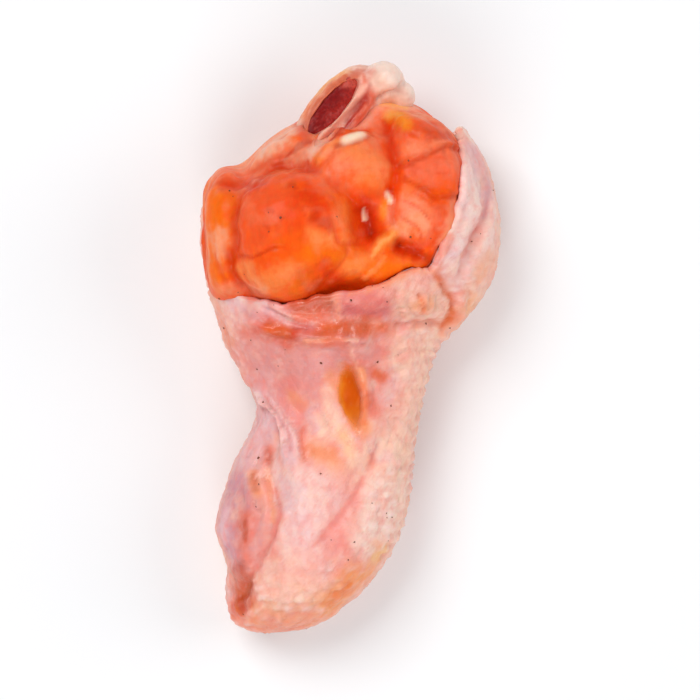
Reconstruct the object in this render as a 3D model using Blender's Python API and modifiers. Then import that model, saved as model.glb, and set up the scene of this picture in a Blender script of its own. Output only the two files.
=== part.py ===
# Raw chicken wing drumette, shoulder end towards +Y, lying on its skin side with the cut side up.
# The skin is a slipper round the meat, and the upper arm bone runs through the meat with its marrow inside.

import math

import bmesh
import bpy
import numpy as np
from mathutils import Matrix, Vector

MM = 0.001

# Driving sizes, in metres.
SKIN_THICKNESS = 1.5 * MM
CLEARANCE = 0.35 * MM
CORE_SLACK = 0.4 * MM
SKIN_SHEET_TRIANGLES = 2700
BASE_SNAP = 0.04 * MM
COLUMNS = 16
COVERED = "under the skin"
WIDEST_SHARE = 0.45
UPPER_ROUNDNESS = 0.9
LOWER_ROUNDNESS = 0.6
CAGE_SWELL = 1.03

# Sections across the wing from the elbow to the shoulder, in millimetres: how far along, the left and right
# edges, the top, the underside, and how far the top of the section leans towards the shoulder to the right
# and to both sides.
SECTIONS = (
    (-47.8, -19.3, -5.0, 15.0, 3.5, 0.0, 0.0),
    (-43.0, -20.6, 1.3, 20.5, 0.0, 0.0, 0.0),
    (-36.0, -22.0, 7.2, 23.5, -2.5, 0.0, 0.0),
    (-28.0, -22.6, 10.0, 24.0, -2.5, 0.0, 0.0),
    (-19.0, -20.3, 11.4, 23.0, 0.0, 0.0, 0.0),
    (-10.5, -14.4, 12.7, 22.5, 1.5, 0.0, 0.0),
    (-4.2, -18.8, 13.9, 24.0, 0.5, 0.0, 0.0),
    (0.4, -21.2, 14.9, 26.5, -1.0, 1.0, 1.0),
    (4.6, -22.6, 19.6, 28.5, -3.0, 2.0, 2.0),
    (9.3, -24.0, 23.8, 30.0, -4.0, 5.0, 4.0),
    (14.6, -25.0, 25.4, 31.5, -4.0, 3.0, 1.2),
    (20.0, -25.4, 26.0, 32.0, -4.0, 2.0, 0.0),
    (26.0, -24.9, 25.4, 31.5, -4.0, 1.5, 0.0),
    (32.0, -19.4, 23.4, 29.5, -1.5, 1.5, 0.0),
    (37.2, -10.6, 20.0, 26.5, 2.5, 1.0, 0.0),
    (42.0, -6.0, 12.0, 24.0, 6.5, 0.0, 0.0),
)
ELBOW_TIP = (-12.5, -49.9, 8.5)
SHOULDER_TIP = (2.5, 45.0, 15.0)

# The cut side has no skin. Its edges run along these two columns of the cage, and each section from the
# collar to the shoulder holds the directions of its right and left edge, in degrees from the right over the top.
RIGHT_EDGE_COLUMN = 2
LEFT_EDGE_COLUMN = 9
COLLAR_SECTION = 10
LAST_SKIN_SECTION = 15
CUT_EDGES = {
    10: (56, 188),
    11: (54, 187),
    12: (53, 186),
    13: (49, 186),
    14: (43, 187),
    15: (24, 190),
}
# How far the meat lies below the skin's line across the cut.
CUT_SINK = 4.5

# Folds of the skin, in millimetres: height (a groove is negative), half width, and the line seen from above.
SKIN_FOLDS = (
    ("fold under the collar", 1.0, 2.4, ((-16.0, 5.0), (-10.0, 3.5), (-5.0, 2.6), (1.5, 2.2))),
    ("groove above that fold", -0.9, 2.2, ((-17.0, 8.0), (-9.0, 6.0), (-1.0, 5.0), (7.0, 5.6))),
    ("ridge down the front", 1.2, 2.6, ((1.0, 2.0), (1.6, -4.0), (2.6, -11.0), (2.2, -18.0))),
    ("dip beside the ridge", -1.3, 3.0, ((-0.5, -5.0), (0.0, -9.0), (0.8, -13.0))),
    ("web fold at the waist", 1.3, 2.4, ((-17.0, -5.0), (-13.0, -10.0), (-10.5, -15.0), (-10.0, -20.0))),
    ("hollow outside the web", -1.8, 3.2, ((-17.0, -12.5), (-14.0, -18.0), (-13.5, -25.0))),
    ("crease over the shin", -0.9, 2.4, ((3.4, -18.0), (0.0, -26.0), (-3.5, -32.0))),
    ("groove by the elbow", -1.2, 2.4, ((-14.5, -31.0), (-15.5, -37.0), (-19.0, -42.0))),
    ("overhang of the right fold", -1.6, 2.6, ((9.0, 3.4), (14.5, 2.6), (19.0, 0.5))),
    ("groove inside the right fold", -0.9, 2.4, ((20.5, 33.0), (22.0, 24.0), (20.5, 14.0), (16.5, 8.0))),
)

# Muscles that stand out of the cut: centre, half sizes and the turn seen from above, in millimetres and degrees.
MUSCLES = (
    ("biceps", (-8.6, 19.6, 22.0), (12.0, 11.4, 12.6), 12),
    ("left strap", (-20.4, 20.5, 16.0), (4.7, 11.0, 11.5), 4),
    ("upper middle", (0.6, 29.8, 22.5), (7.6, 5.8, 10.2), -18),
    ("right top", (12.0, 35.4, 18.0), (7.0, 4.6, 11.0), -28),
    ("right middle", (13.0, 29.2, 20.5), (6.6, 3.9, 10.4), -10),
    ("right lower", (11.6, 20.8, 20.5), (5.6, 6.2, 11.6), 8),
    ("lower band", (5.6, 14.0, 20.5), (8.0, 4.4, 9.2), 16),
    ("shoulder slip", (-11.5, 33.0, 15.0), (8.8, 3.6, 9.6), 38),
    ("tendon end", (0.8, 37.0, 23.0), (2.7, 1.2, 2.4), 12),
)
MEAT_VOXEL = 1.15 * MM
MEAT_TRIANGLES = 3400
# The exact solver can lose the whole meat where the skin's thin cutter grazes it.
MEAT_SOLVER = "MANIFOLD"

# The bone's line from the shoulder to the elbow, with its radius there, in millimetres.
BONE_LINE = (
    (4.3, 45.0, 18.0, 3.8),
    (-1.0, 39.6, 17.5, 4.4),
    (-4.5, 30.0, 15.5, 4.2),
    (-5.0, 15.0, 13.5, 3.4),
    (-5.0, 0.0, 12.5, 3.2),
    (-6.5, -15.0, 12.0, 3.3),
    (-8.5, -28.0, 12.0, 4.2),
    (-9.0, -34.5, 11.6, 4.8),
)
BONE_KNOBS = (
    ("main knob", (5.6, 45.4, 17.8), (3.7, 3.9, 5.5), -30),
    ("small knob", (8.7, 43.2, 16.6), (2.5, 2.8, 3.6), 0),
    ("rim of the socket", (-1.9, 40.4, 17.4), (10.8, 4.1, 5.2), 51),
    ("left elbow knuckle", (-12.0, -36.8, 11.6), (4.6, 4.6, 5.6), 0),
    ("right elbow knuckle", (-5.6, -36.8, 11.2), (4.2, 4.2, 5.0), 0),
)
BONE_VOXEL = 0.8 * MM
BONE_TRIANGLES = 1100
SOCKET_CENTRE = (-2.9, 40.8, 22.4)
SOCKET_HALF = (6.4, 2.3, 3.4)
SOCKET_TURN = 51
MARROW_RADIUS = 1.7
MARROW_VOXEL = 0.6 * MM
MARROW_TRIANGLES = 450
SOCKET_FLOOR = 35.0
MARROW_END = -20.0


def clear_scene():
    for old in list(bpy.data.objects):
        bpy.data.objects.remove(old)


def new_collection(name, hidden=False):
    made = bpy.data.collections.new(name)
    bpy.context.scene.collection.children.link(made)
    made.hide_render = hidden
    return made


def make_material(name, color, roughness):
    made = bpy.data.materials.new(name)
    made.use_nodes = True
    shader = made.node_tree.nodes["Principled BSDF"]
    shader.inputs["Base Color"].default_value = (*color, 1.0)
    shader.inputs["Roughness"].default_value = roughness
    return made


def new_object(name, mesh, collection):
    made = bpy.data.objects.new(name, mesh)
    collection.objects.link(made)
    return made


def applied_mesh(obj):
    """The object's mesh with its modifiers applied."""
    graph = bpy.context.evaluated_depsgraph_get()
    return bpy.data.meshes.new_from_object(obj.evaluated_get(graph), depsgraph=graph)


def apply_modifiers(obj):
    mesh = applied_mesh(obj)
    obj.modifiers.clear()
    obj.data = mesh


def add_subdivision(obj, levels):
    modifier = obj.modifiers.new("Subdivision", "SUBSURF")
    modifier.levels = levels
    modifier.render_levels = levels


def add_remesh(obj, voxel):
    modifier = obj.modifiers.new("Remesh", "REMESH")
    modifier.mode = "VOXEL"
    modifier.voxel_size = voxel


def add_smooth(obj, factor, repeats):
    modifier = obj.modifiers.new("Smooth", "SMOOTH")
    modifier.factor = factor
    modifier.iterations = repeats


def add_decimate(obj, triangles):
    """Collapses edges until about this many triangles are left."""
    apply_modifiers(obj)
    obj.data.calc_loop_triangles()
    modifier = obj.modifiers.new("Decimate", "DECIMATE")
    modifier.ratio = min(1.0, triangles / len(obj.data.loop_triangles))
    apply_modifiers(obj)


def add_growth(obj, distance, group=""):
    """Moves the points of the surface, or of one vertex group, outwards by this distance."""
    modifier = obj.modifiers.new("Grow", "DISPLACE")
    modifier.strength = distance
    modifier.mid_level = 0.0
    modifier.vertex_group = group


def subtract(obj, cutter, solver="EXACT"):
    modifier = obj.modifiers.new("Cut " + cutter.name, "BOOLEAN")
    modifier.operation = "DIFFERENCE"
    modifier.object = cutter
    modifier.solver = solver


def keep_largest_body(obj):
    """Drops the loose scraps that a cut leaves."""
    shape = bmesh.new()
    shape.from_mesh(obj.data)
    unseen = set(shape.verts)
    bodies = []
    while unseen:
        body = [unseen.pop()]
        for vert in body:
            near = {edge.other_vert(vert) for edge in vert.link_edges} & unseen
            unseen -= near
            body.extend(near)
        bodies.append(body)
    bodies.sort(key=len)
    for body in bodies[:-1]:
        bmesh.ops.delete(shape, geom=body, context="VERTS")
    shape.to_mesh(obj.data)
    shape.free()


def section_point(section, turn):
    """A point of a section across the wing, in the direction turn, counted from the right over the top."""
    along, left, right, top, underside, lean, bow = section
    middle = (left + right) / 2
    half = (right - left) / 2 * CAGE_SWELL
    widest = underside + WIDEST_SHARE * (top - underside)
    side, rise = math.cos(turn), math.sin(turn)
    across = math.copysign(abs(side) ** UPPER_ROUNDNESS, side)
    if rise >= 0:
        height = widest + (top - widest) * CAGE_SWELL * rise**UPPER_ROUNDNESS
    else:
        height = widest - (widest - underside) * CAGE_SWELL * (-rise) ** LOWER_ROUNDNESS
    forward = along + (lean * across + bow * across**2) * max(rise, 0.0)
    return Vector((middle + half * across, forward, max(height, 0.0))) * MM


def column_turn(ring, column):
    """The direction of a column of the cage, drawn to the edge of the cut where it runs along it."""
    right_edge, left_edge = CUT_EDGES.get(ring, (None, None))
    if right_edge is not None and column == RIGHT_EDGE_COLUMN:
        return math.radians(right_edge)
    if left_edge is not None and column == LEFT_EDGE_COLUMN:
        return math.radians(left_edge)
    return column * math.tau / COLUMNS


def in_cut(ring, column):
    """Whether this point of the cage lies inside the cut side, off its edges."""
    return ring > COLLAR_SECTION and (ring > LAST_SKIN_SECTION or RIGHT_EDGE_COLUMN < column < LEFT_EDGE_COLUMN)


def wing_cage(cut_sink=0.0):
    """The closed cage of the whole wing, with each point's section number and column stored on it."""
    shape = bmesh.new()
    rings = len(SECTIONS) + 1
    bmesh.ops.create_uvsphere(shape, u_segments=COLUMNS, v_segments=rings, radius=1.0)
    ring_of = shape.verts.layers.int.new("ring")
    column_of = shape.verts.layers.int.new("column")
    for vert in shape.verts:
        ring = round(math.acos(max(-1.0, min(1.0, -vert.co.z))) / math.pi * rings)
        column = round(math.atan2(vert.co.y, vert.co.x) / math.tau * COLUMNS) % COLUMNS
        vert[ring_of] = ring
        vert[column_of] = column
        if ring == 0:
            vert.co = Vector(ELBOW_TIP) * MM
        elif ring == rings:
            vert.co = Vector(SHOULDER_TIP) * MM
        else:
            turn = column_turn(ring, column)
            vert.co = section_point(SECTIONS[ring - 1], turn)
            if in_cut(ring, column):
                vert.co.z -= cut_sink * MM * max(math.sin(turn), 0.0)
    bmesh.ops.recalc_face_normals(shape, faces=shape.faces)
    return shape


def open_cut_side(shape):
    """Removes the cage's faces where the real wing is cut and shows no skin."""
    ring_of = shape.verts.layers.int["ring"]
    column_of = shape.verts.layers.int["column"]
    cut = []
    for face in shape.faces:
        first = min(vert[ring_of] for vert in face.verts)
        columns = [vert[column_of] for vert in face.verts]
        between = RIGHT_EDGE_COLUMN <= min(columns) and max(columns) <= LEFT_EDGE_COLUMN
        if first >= LAST_SKIN_SECTION or (first >= COLLAR_SECTION and between):
            cut.append(face)
    bmesh.ops.delete(shape, geom=cut, context="FACES")


def object_from_cage(name, shape, collection, covered=()):
    """A smooth object from the cage, with the points under skin in a vertex group."""
    mesh = bpy.data.meshes.new(name)
    shape.to_mesh(mesh)
    shape.free()
    made = new_object(name, mesh, collection)
    made.vertex_groups.new(name=COVERED).add(list(covered), 1.0, "REPLACE")
    add_subdivision(made, 2)
    apply_modifiers(made)
    return made


def top_point(obj, x, y):
    """The point of the surface straight below a point high above the wing."""
    hit, place, _, _ = obj.ray_cast(Vector((x * MM, y * MM, 0.1)), Vector((0, 0, -1)))
    return np.array(place) if hit else None


def distance_to_line(points, line):
    """Each point's distance to the nearest stretch of a line of points."""
    nearest = np.full(len(points), np.inf)
    for start, end in zip(line[:-1], line[1:]):
        stretch = end - start
        share = np.clip((points - start) @ stretch / (stretch @ stretch), 0.0, 1.0)
        gap = np.linalg.norm(points - start - share[:, None] * stretch, axis=1)
        nearest = np.minimum(nearest, gap)
    return nearest


def fold_surface(obj, folds):
    """Raises ridges and sinks grooves along lines that lie on the top of the surface."""
    count = len(obj.data.vertices)
    points = np.empty(count * 3)
    obj.data.vertices.foreach_get("co", points)
    points = points.reshape(-1, 3)
    normals = np.array([vert.normal for vert in obj.data.vertices])
    moved = points.copy()
    for _, height, half_width, outline in folds:
        hits = [top_point(obj, x, y) for x, y in outline]
        line = [hit for hit in hits if hit is not None]
        fade = np.exp(-((distance_to_line(points, line) / (half_width * MM)) ** 2))
        moved += normals * (height * MM * fade)[:, None]
    moved[:, 2] = np.maximum(moved[:, 2], 0.0)
    obj.data.vertices.foreach_set("co", moved.ravel())
    obj.data.update()


def flatten_base(obj):
    """Brings the points that rest on the surface below to exactly its level."""
    for vert in obj.data.vertices:
        if vert.co.z < BASE_SNAP:
            vert.co.z = 0.0


def make_skin(parts):
    shape = wing_cage()
    open_cut_side(shape)
    skin = object_from_cage("skin", shape, parts)
    fold_surface(skin, SKIN_FOLDS)
    add_decimate(skin, SKIN_SHEET_TRIANGLES)
    flatten_base(skin)
    shell = skin.modifiers.new("Thickness", "SOLIDIFY")
    shell.thickness = SKIN_THICKNESS
    shell.offset = -1.0
    shell.use_even_offset = False
    apply_modifiers(skin)
    return skin


def add_ellipsoid(name, centre, half_sizes, turn, collection, subdivisions=4):
    shape = bmesh.new()
    bmesh.ops.create_icosphere(shape, subdivisions=subdivisions, radius=MM)
    place = (
        Matrix.Translation(Vector(centre) * MM)
        @ Matrix.Rotation(math.radians(turn), 4, "Z")
        @ Matrix.Diagonal((*half_sizes, 1.0))
    )
    bmesh.ops.transform(shape, matrix=place, verts=shape.verts)
    mesh = bpy.data.meshes.new(name)
    shape.to_mesh(mesh)
    shape.free()
    return new_object(name, mesh, collection)


def join_as_one(name, pieces, collection):
    """One object that holds the meshes of these pieces, which are removed."""
    shape = bmesh.new()
    for piece in pieces:
        shape.from_mesh(piece.data)
        bpy.data.objects.remove(piece)
    mesh = bpy.data.meshes.new(name)
    shape.to_mesh(mesh)
    shape.free()
    return new_object(name, mesh, collection)


def grown_copy(obj, collection):
    """A cutter that is the object's shape grown by the clearance."""
    made = new_object(obj.name + "_cutter", obj.data.copy(), collection)
    add_growth(made, CLEARANCE)
    apply_modifiers(made)
    made.hide_render = True
    made.display_type = "WIRE"
    return made


def make_meat(cutters, parts):
    """The meat fills the skin, and its muscles stand out of the cut side."""
    cage = wing_cage(CUT_SINK)
    ring_of = cage.verts.layers.int["ring"]
    column_of = cage.verts.layers.int["column"]
    covered = [vert.index for vert in cage.verts if not in_cut(vert[ring_of], vert[column_of])]
    core = object_from_cage("core", cage, parts, covered)
    fold_surface(core, SKIN_FOLDS)
    add_growth(core, -(SKIN_THICKNESS + CLEARANCE + CORE_SLACK), COVERED)
    apply_modifiers(core)
    muscles = [add_ellipsoid(name, centre, half, turn, parts) for name, centre, half, turn in MUSCLES]
    meat = join_as_one("meat", [core, *muscles], parts)
    add_remesh(meat, MEAT_VOXEL)
    add_smooth(meat, 0.5, 2)
    add_decimate(meat, MEAT_TRIANGLES)
    for cutter in cutters:
        subtract(meat, cutter, MEAT_SOLVER)
    apply_modifiers(meat)
    keep_largest_body(meat)
    return meat


def tube_along(name, line, collection):
    """A closed tube along a smooth line of points, each with its own radius."""
    curve = bpy.data.curves.new(name, "CURVE")
    curve.dimensions = "3D"
    curve.bevel_depth = MM
    curve.bevel_resolution = 4
    curve.use_fill_caps = True
    curve.resolution_u = 6
    spline = curve.splines.new("BEZIER")
    spline.bezier_points.add(len(line) - 1)
    for point, (x, y, z, radius) in zip(spline.bezier_points, line):
        point.co = Vector((x, y, z)) * MM
        point.radius = radius
        point.handle_left_type = "AUTO"
        point.handle_right_type = "AUTO"
    guide = new_object(name + "_line", curve, collection)
    mesh = applied_mesh(guide)
    bpy.data.objects.remove(guide)
    shape = bmesh.new()
    shape.from_mesh(mesh)
    bmesh.ops.remove_doubles(shape, verts=shape.verts, dist=0.01 * MM)
    bmesh.ops.recalc_face_normals(shape, faces=shape.faces)
    shape.to_mesh(mesh)
    shape.free()
    return new_object(name, mesh, collection)


def make_marrow(parts):
    """The marrow fills the bone from the open socket to near the elbow."""
    bore = [(*SOCKET_CENTRE, MARROW_RADIUS)]
    bore += [(x, y, z, MARROW_RADIUS) for x, y, z, _ in BONE_LINE if MARROW_END < y < SOCKET_FLOOR]
    shaft = tube_along("shaft_marrow", bore, parts)
    half = [size - CLEARANCE / MM for size in SOCKET_HALF]
    filling = add_ellipsoid("socket_marrow", SOCKET_CENTRE, half, SOCKET_TURN, parts, 3)
    marrow = join_as_one("marrow", [shaft, filling], parts)
    add_remesh(marrow, MARROW_VOXEL)
    add_smooth(marrow, 0.5, 2)
    add_decimate(marrow, MARROW_TRIANGLES)
    return marrow


def make_bone(parts):
    shaft = tube_along("shaft", BONE_LINE, parts)
    knobs = [add_ellipsoid(name, centre, half, turn, parts, 3) for name, centre, half, turn in BONE_KNOBS]
    bone = join_as_one("bone", [shaft, *knobs], parts)
    add_remesh(bone, BONE_VOXEL)
    add_smooth(bone, 0.5, 2)
    add_decimate(bone, BONE_TRIANGLES)
    return bone


def finish(obj, material):
    obj.data.materials.clear()
    obj.data.materials.append(material)
    obj.data.shade_smooth()
    obj.data.set_sharp_from_angle(angle=math.radians(60))


def main():
    clear_scene()
    parts = new_collection("raw_chicken_wing")
    tools = new_collection("cutters", hidden=True)
    skin = make_skin(parts)
    bone = make_bone(parts)
    marrow = make_marrow(parts)
    skin_cutter, bone_cutter, marrow_cutter = [grown_copy(piece, tools) for piece in (skin, bone, marrow)]
    meat = make_meat((skin_cutter, bone_cutter, marrow_cutter), parts)
    subtract(bone, marrow_cutter)
    apply_modifiers(bone)
    keep_largest_body(bone)
    finish(skin, make_material("skin", (0.86, 0.60, 0.50), 0.35))
    finish(meat, make_material("meat", (0.83, 0.20, 0.06), 0.30))
    finish(bone, make_material("bone", (0.90, 0.74, 0.62), 0.35))
    finish(marrow, make_material("marrow", (0.22, 0.01, 0.02), 0.40))


main()
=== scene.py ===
import math
import random
from types import SimpleNamespace

import bpy
import numpy as np
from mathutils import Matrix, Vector, noise


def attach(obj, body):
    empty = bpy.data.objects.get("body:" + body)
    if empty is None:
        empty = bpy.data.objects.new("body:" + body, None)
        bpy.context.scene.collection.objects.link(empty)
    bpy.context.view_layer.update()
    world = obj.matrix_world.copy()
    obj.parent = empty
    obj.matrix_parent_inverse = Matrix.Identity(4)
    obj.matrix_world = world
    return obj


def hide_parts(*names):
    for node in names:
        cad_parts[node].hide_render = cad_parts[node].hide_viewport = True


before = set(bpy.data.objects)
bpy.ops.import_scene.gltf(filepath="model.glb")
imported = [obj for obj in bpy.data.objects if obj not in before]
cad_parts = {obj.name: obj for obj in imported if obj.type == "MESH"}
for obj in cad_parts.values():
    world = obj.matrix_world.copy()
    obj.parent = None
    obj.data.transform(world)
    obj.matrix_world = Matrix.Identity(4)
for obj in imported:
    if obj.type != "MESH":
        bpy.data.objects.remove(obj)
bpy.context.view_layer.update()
mm = 0.001
overhead = 100  # where rays straight down start


# Working tools for objects

def selectOnly(*objects):
    if bpy.context.object and bpy.context.object.mode != "OBJECT":
        bpy.ops.object.mode_set(mode="OBJECT")
    bpy.ops.object.select_all(action="DESELECT")
    for obj in objects:
        obj.select_set(True)
    if objects:
        bpy.context.view_layer.objects.active = objects[0]


def startPiece(name):
    made = bpy.context.object
    made.name = name
    made.data.name = name
    return made


def settle(obj):
    selectOnly(obj)
    bpy.ops.object.transform_apply(location=True, rotation=True, scale=True)


def modify(obj, kind, **settings):
    selectOnly(obj)
    modifier = obj.modifiers.new(kind, kind)
    for key, value in settings.items():
        setattr(modifier, key, value)
    bpy.ops.object.modifier_apply(modifier=modifier.name)


def copyOf(obj, name):
    made = obj.copy()
    made.data = obj.data.copy()
    made.name = name
    bpy.context.scene.collection.objects.link(made)
    return made


def remove(*objects):
    for obj in objects:
        bpy.data.objects.remove(obj)


def joinAs(name, objects):
    selectOnly(*objects)
    bpy.ops.object.join()
    return startPiece(name)


def editFaces(obj, chosen, action):
    # selects the faces in code and runs an edit mode step on them
    selectOnly(obj)
    bpy.ops.object.mode_set(mode="EDIT")
    bpy.ops.mesh.select_mode(type="FACE")
    bpy.ops.mesh.select_all(action="DESELECT")
    bpy.ops.object.mode_set(mode="OBJECT")
    obj.data.polygons.foreach_set("select", np.asarray(chosen, bool))
    bpy.ops.object.mode_set(mode="EDIT")
    action()
    bpy.ops.object.mode_set(mode="OBJECT")


def faceOutward(obj):
    everyFace = [True] * len(obj.data.polygons)
    editFaces(obj, everyFace, lambda: bpy.ops.mesh.normals_make_consistent(inside=False))


def fromAbove(obj, x, y):
    # what a ray straight down meets: whether it does, the place and the normal there
    hit, place, normal, _ = obj.ray_cast(Vector((x * mm, y * mm, overhead * mm)), Vector((0, 0, -1)))
    return hit, place, normal


def pointsOf(obj):
    flat = np.empty(len(obj.data.vertices) * 3, np.float32)
    obj.data.vertices.foreach_get("co", flat)
    return flat.reshape(-1, 3).astype(float) / mm


def normalsOf(obj):
    flat = np.empty(len(obj.data.vertices) * 3, np.float32)
    obj.data.vertex_normals.foreach_get("vector", flat)
    return flat.reshape(-1, 3).astype(float)


def movePoints(obj, points):
    obj.data.vertices.foreach_set("co", (points * mm).astype(np.float32).ravel())
    obj.data.update()


# Working tools for shapes and paint

def smoothStep(low, high, values):
    share = np.clip((values - low) / (high - low), 0.0, 1.0)
    return share * share * (3.0 - 2.0 * share)


def cloud(points, size, seed, octaves=1):
    # smooth random values of about -1 to 1, with lumps of this size
    shift = Vector((seed * 7.31, seed * -3.17, seed * 5.53))
    if octaves == 1:
        return np.array([noise.noise(Vector(p) + shift) for p in points / size])
    return np.array([noise.fractal(Vector(p) + shift, 0.9, 2.0, octaves) for p in points / size])


def near(points, place, reach):
    # 1 at a place, falling to 0 beyond its reach
    return np.exp(-((np.linalg.norm(points - np.array(place), axis=1) / reach) ** 2))


def patch(points, centre, half):
    # 1 in a rounded area seen from above, 0 outside
    return np.exp(-(((points[:, :2] - np.array(centre)) / half) ** 4).sum(1))


def turned(east, north, degrees):
    # the same places along and across a turned direction
    cos, sin = math.cos(math.radians(degrees)), math.sin(math.radians(degrees))
    return east * cos + north * sin, north * cos - east * sin


def astray(points, size, seed, octaves):
    # how far lines wander when seen from above
    return np.column_stack([cloud(points, size, seed, octaves), cloud(points, size, seed + 1, octaves)])


def pairs(line):
    # the points of a line that is written x, y, x, y
    return np.array(line, float).reshape(-1, 2)


def smoothLine(line, step=0.35):
    # a curve through the points of a line
    knots = pairs(line)
    knots = np.vstack([2 * knots[0] - knots[1], knots, 2 * knots[-1] - knots[-2]])
    made = []
    for a, b, c, d in zip(knots, knots[1:], knots[2:], knots[3:]):
        count = max(2, int(np.linalg.norm(c - b) / step))
        t = np.linspace(0.0, 1.0, count, endpoint=False)[:, None]
        bend, twist = 2 * a - 5 * b + 4 * c - d, 3 * b - a - 3 * c + d
        made.append(0.5 * (2 * b + (c - a) * t + bend * t**2 + twist * t**3))
    return np.vstack([*made, knots[-2:-1]])


def nearLine(plan, line, reach):
    # the points within reach of a line: their numbers, distance, side (left is +) and share along it
    path = smoothLine(line)
    inside = (plan > path.min(0) - reach) & (plan < path.max(0) + reach)
    close = np.flatnonzero(inside.all(1))
    gaps = plan[close][:, None, :] - path[None, :, :]
    squares = (gaps**2).sum(2)
    nearest = squares.argmin(1)
    rows = np.arange(len(close))
    ahead = np.gradient(path, axis=0)[nearest]
    gap = gaps[rows, nearest]
    side = np.sign(ahead[:, 0] * gap[:, 1] - ahead[:, 1] * gap[:, 0])
    return close, np.sqrt(squares[rows, nearest]), side, nearest / (len(path) - 1)


def profile(kind, gap, side, width):
    # heights across a stroke
    if kind == "groove":
        return -np.exp(-((gap / width) ** 1.3))
    ridge = np.exp(-((gap / width) ** 2))
    if kind == "step":  # high on the left of the line, with a sharp foot on the right
        return np.where(side > 0, ridge, -0.35 * np.exp(-((gap / width * 2.2) ** 2)))
    return ridge


def carve(plan, facing, strokes, grain):
    # the height that all strokes add, in millimetres, uneven with the grain
    made = np.zeros(len(plan))
    for kind, height, width, *line in strokes:
        close, gap, side, along = nearLine(plan, line, width * 2.6)
        ends = smoothStep(0.0, 0.12, along) * smoothStep(0.0, 0.12, 1.0 - along)
        made[close] += height * profile(kind, gap, side, width) * (0.15 + 0.85 * ends) * facing[close]
    return made * (1.0 + 0.35 * np.clip(grain, -1.0, 1.0))


def linear(colour):
    return (np.array(colour, float) / 255.0) ** 2.2


class Coat:
    # the paint of a piece, one colour for each point

    def __init__(self, points, palette, first):
        self.palette = {name: linear(shade) for name, shade in palette.items()}
        self.paint = np.tile(self.palette[first], (len(points), 1))

    def lay(self, name, share):
        self.paint += (self.palette[name] - self.paint) * np.clip(share, 0.0, 1.0)[:, None]

    def brush(self, plan, facing, strokes, grain):
        # lays colours along lines, with edges that the grain breaks up
        for name, share, width, *line in strokes:
            close, gap, _, _ = nearLine(plan, line, width * 2.4)
            mask = share * smoothStep(1.7, 0.15, gap / width + 0.55 * grain[close]) * facing[close]
            self.paint[close] += (self.palette[name] - self.paint[close]) * mask[:, None]

    def darken(self, share):
        self.paint *= (1.0 + share)[:, None]

    def store(self, obj, **masks):
        colours = np.column_stack([np.clip(self.paint, 0.0, 1.0), np.ones(len(self.paint))])
        held = obj.data.attributes.new("Paint", "FLOAT_COLOR", "POINT")
        held.data.foreach_set("color", colours.astype(np.float32).ravel())
        for name, values in masks.items():
            held = obj.data.attributes.new(name.capitalize(), "FLOAT", "POINT")
            held.data.foreach_set("value", values.astype(np.float32))


# Shader tools

class Wire:
    # a socket that takes part in sums

    def __init__(self, tree, socket):
        self.tree = tree
        self.socket = socket

    def sum(self, operation, first, second):
        node = self.tree.nodes.new("ShaderNodeMath")
        node.operation = operation
        for slot, value in zip(node.inputs, (first, second)):
            plug(self.tree, slot, value)
        return Wire(self.tree, node.outputs[0])

    def __add__(self, other):
        return self.sum("ADD", self, other)

    def __radd__(self, other):
        return self.sum("ADD", other, self)

    def __rsub__(self, other):
        return self.sum("SUBTRACT", other, self)

    def __mul__(self, other):
        return self.sum("MULTIPLY", self, other)

    def __rmul__(self, other):
        return self.sum("MULTIPLY", other, self)


def plug(tree, slot, value):
    if isinstance(value, Wire):
        tree.links.new(value.socket, slot)
    else:
        slot.default_value = value


class Finish:
    # a material with a Principled shader and the nodes that feed it

    def __init__(self, name):
        self.material = bpy.data.materials.new(name)
        self.material.use_nodes = True
        self.tree = self.material.node_tree
        self.shader = self.tree.nodes["Principled BSDF"]
        self.place = self.node("TexCoord", output="Object")

    def node(self, kind, settings=None, sockets=None, output=0):
        made = self.tree.nodes.new("ShaderNode" + kind)
        for key, value in (settings or {}).items():
            if key == "stops":
                for stop, (where, shade) in zip(made.color_ramp.elements, value):
                    stop.position = where
                    stop.color = (shade, shade, shade, 1.0)
            else:
                setattr(made, key, value)
        for key, value in (sockets or {}).items():
            plug(self.tree, made.inputs[key], value)
        return Wire(self.tree, made.outputs[output])

    def attribute(self, name, output="Fac"):
        return self.node("Attribute", {"attribute_name": name}, output=output)

    def clouds(self, size, detail=2.0, stretch=(1, 1, 1)):
        place = self.node("Mapping", {}, {"Vector": self.place, "Scale": stretch})
        return self.node("TexNoise", {}, {"Vector": place, "Scale": 1.0 / (size * mm), "Detail": detail})

    def cells(self, size, feature="F1"):
        settings = {"feature": feature}
        sockets = {"Vector": self.place, "Scale": 1.0 / (size * mm)}
        return self.node("TexVoronoi", settings, sockets, "Distance")

    def ramp(self, value, *stops):
        return self.node("ValToRGB", {"stops": stops}, {"Fac": value})

    def blend(self, share, first, second, mode="MIX"):
        settings = {"data_type": "RGBA", "blend_type": mode, "clamp_factor": True}
        return self.node("Mix", settings, {0: share, 6: first, 7: second}, 2)

    def bump(self, height, depth):
        return self.node("Bump", {}, {"Height": height, "Distance": depth * mm, "Strength": 1.0})

    def set(self, **values):
        names = {"colour": "Base Color", "coat": "Coat Weight", "coatRoughness": "Coat Roughness",
                 "glow": "Subsurface Weight", "glowRadius": "Subsurface Radius",
                 "glowScale": "Subsurface Scale",
                 "gloss": "Specular IOR Level", "glossTint": "Specular Tint", "ior": "IOR"}
        for key, value in values.items():
            plug(self.tree, self.shader.inputs[names.get(key, key.capitalize())], value)


def colour(*shade):
    return (*[float(part) for part in linear(shade)], 1.0)


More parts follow.
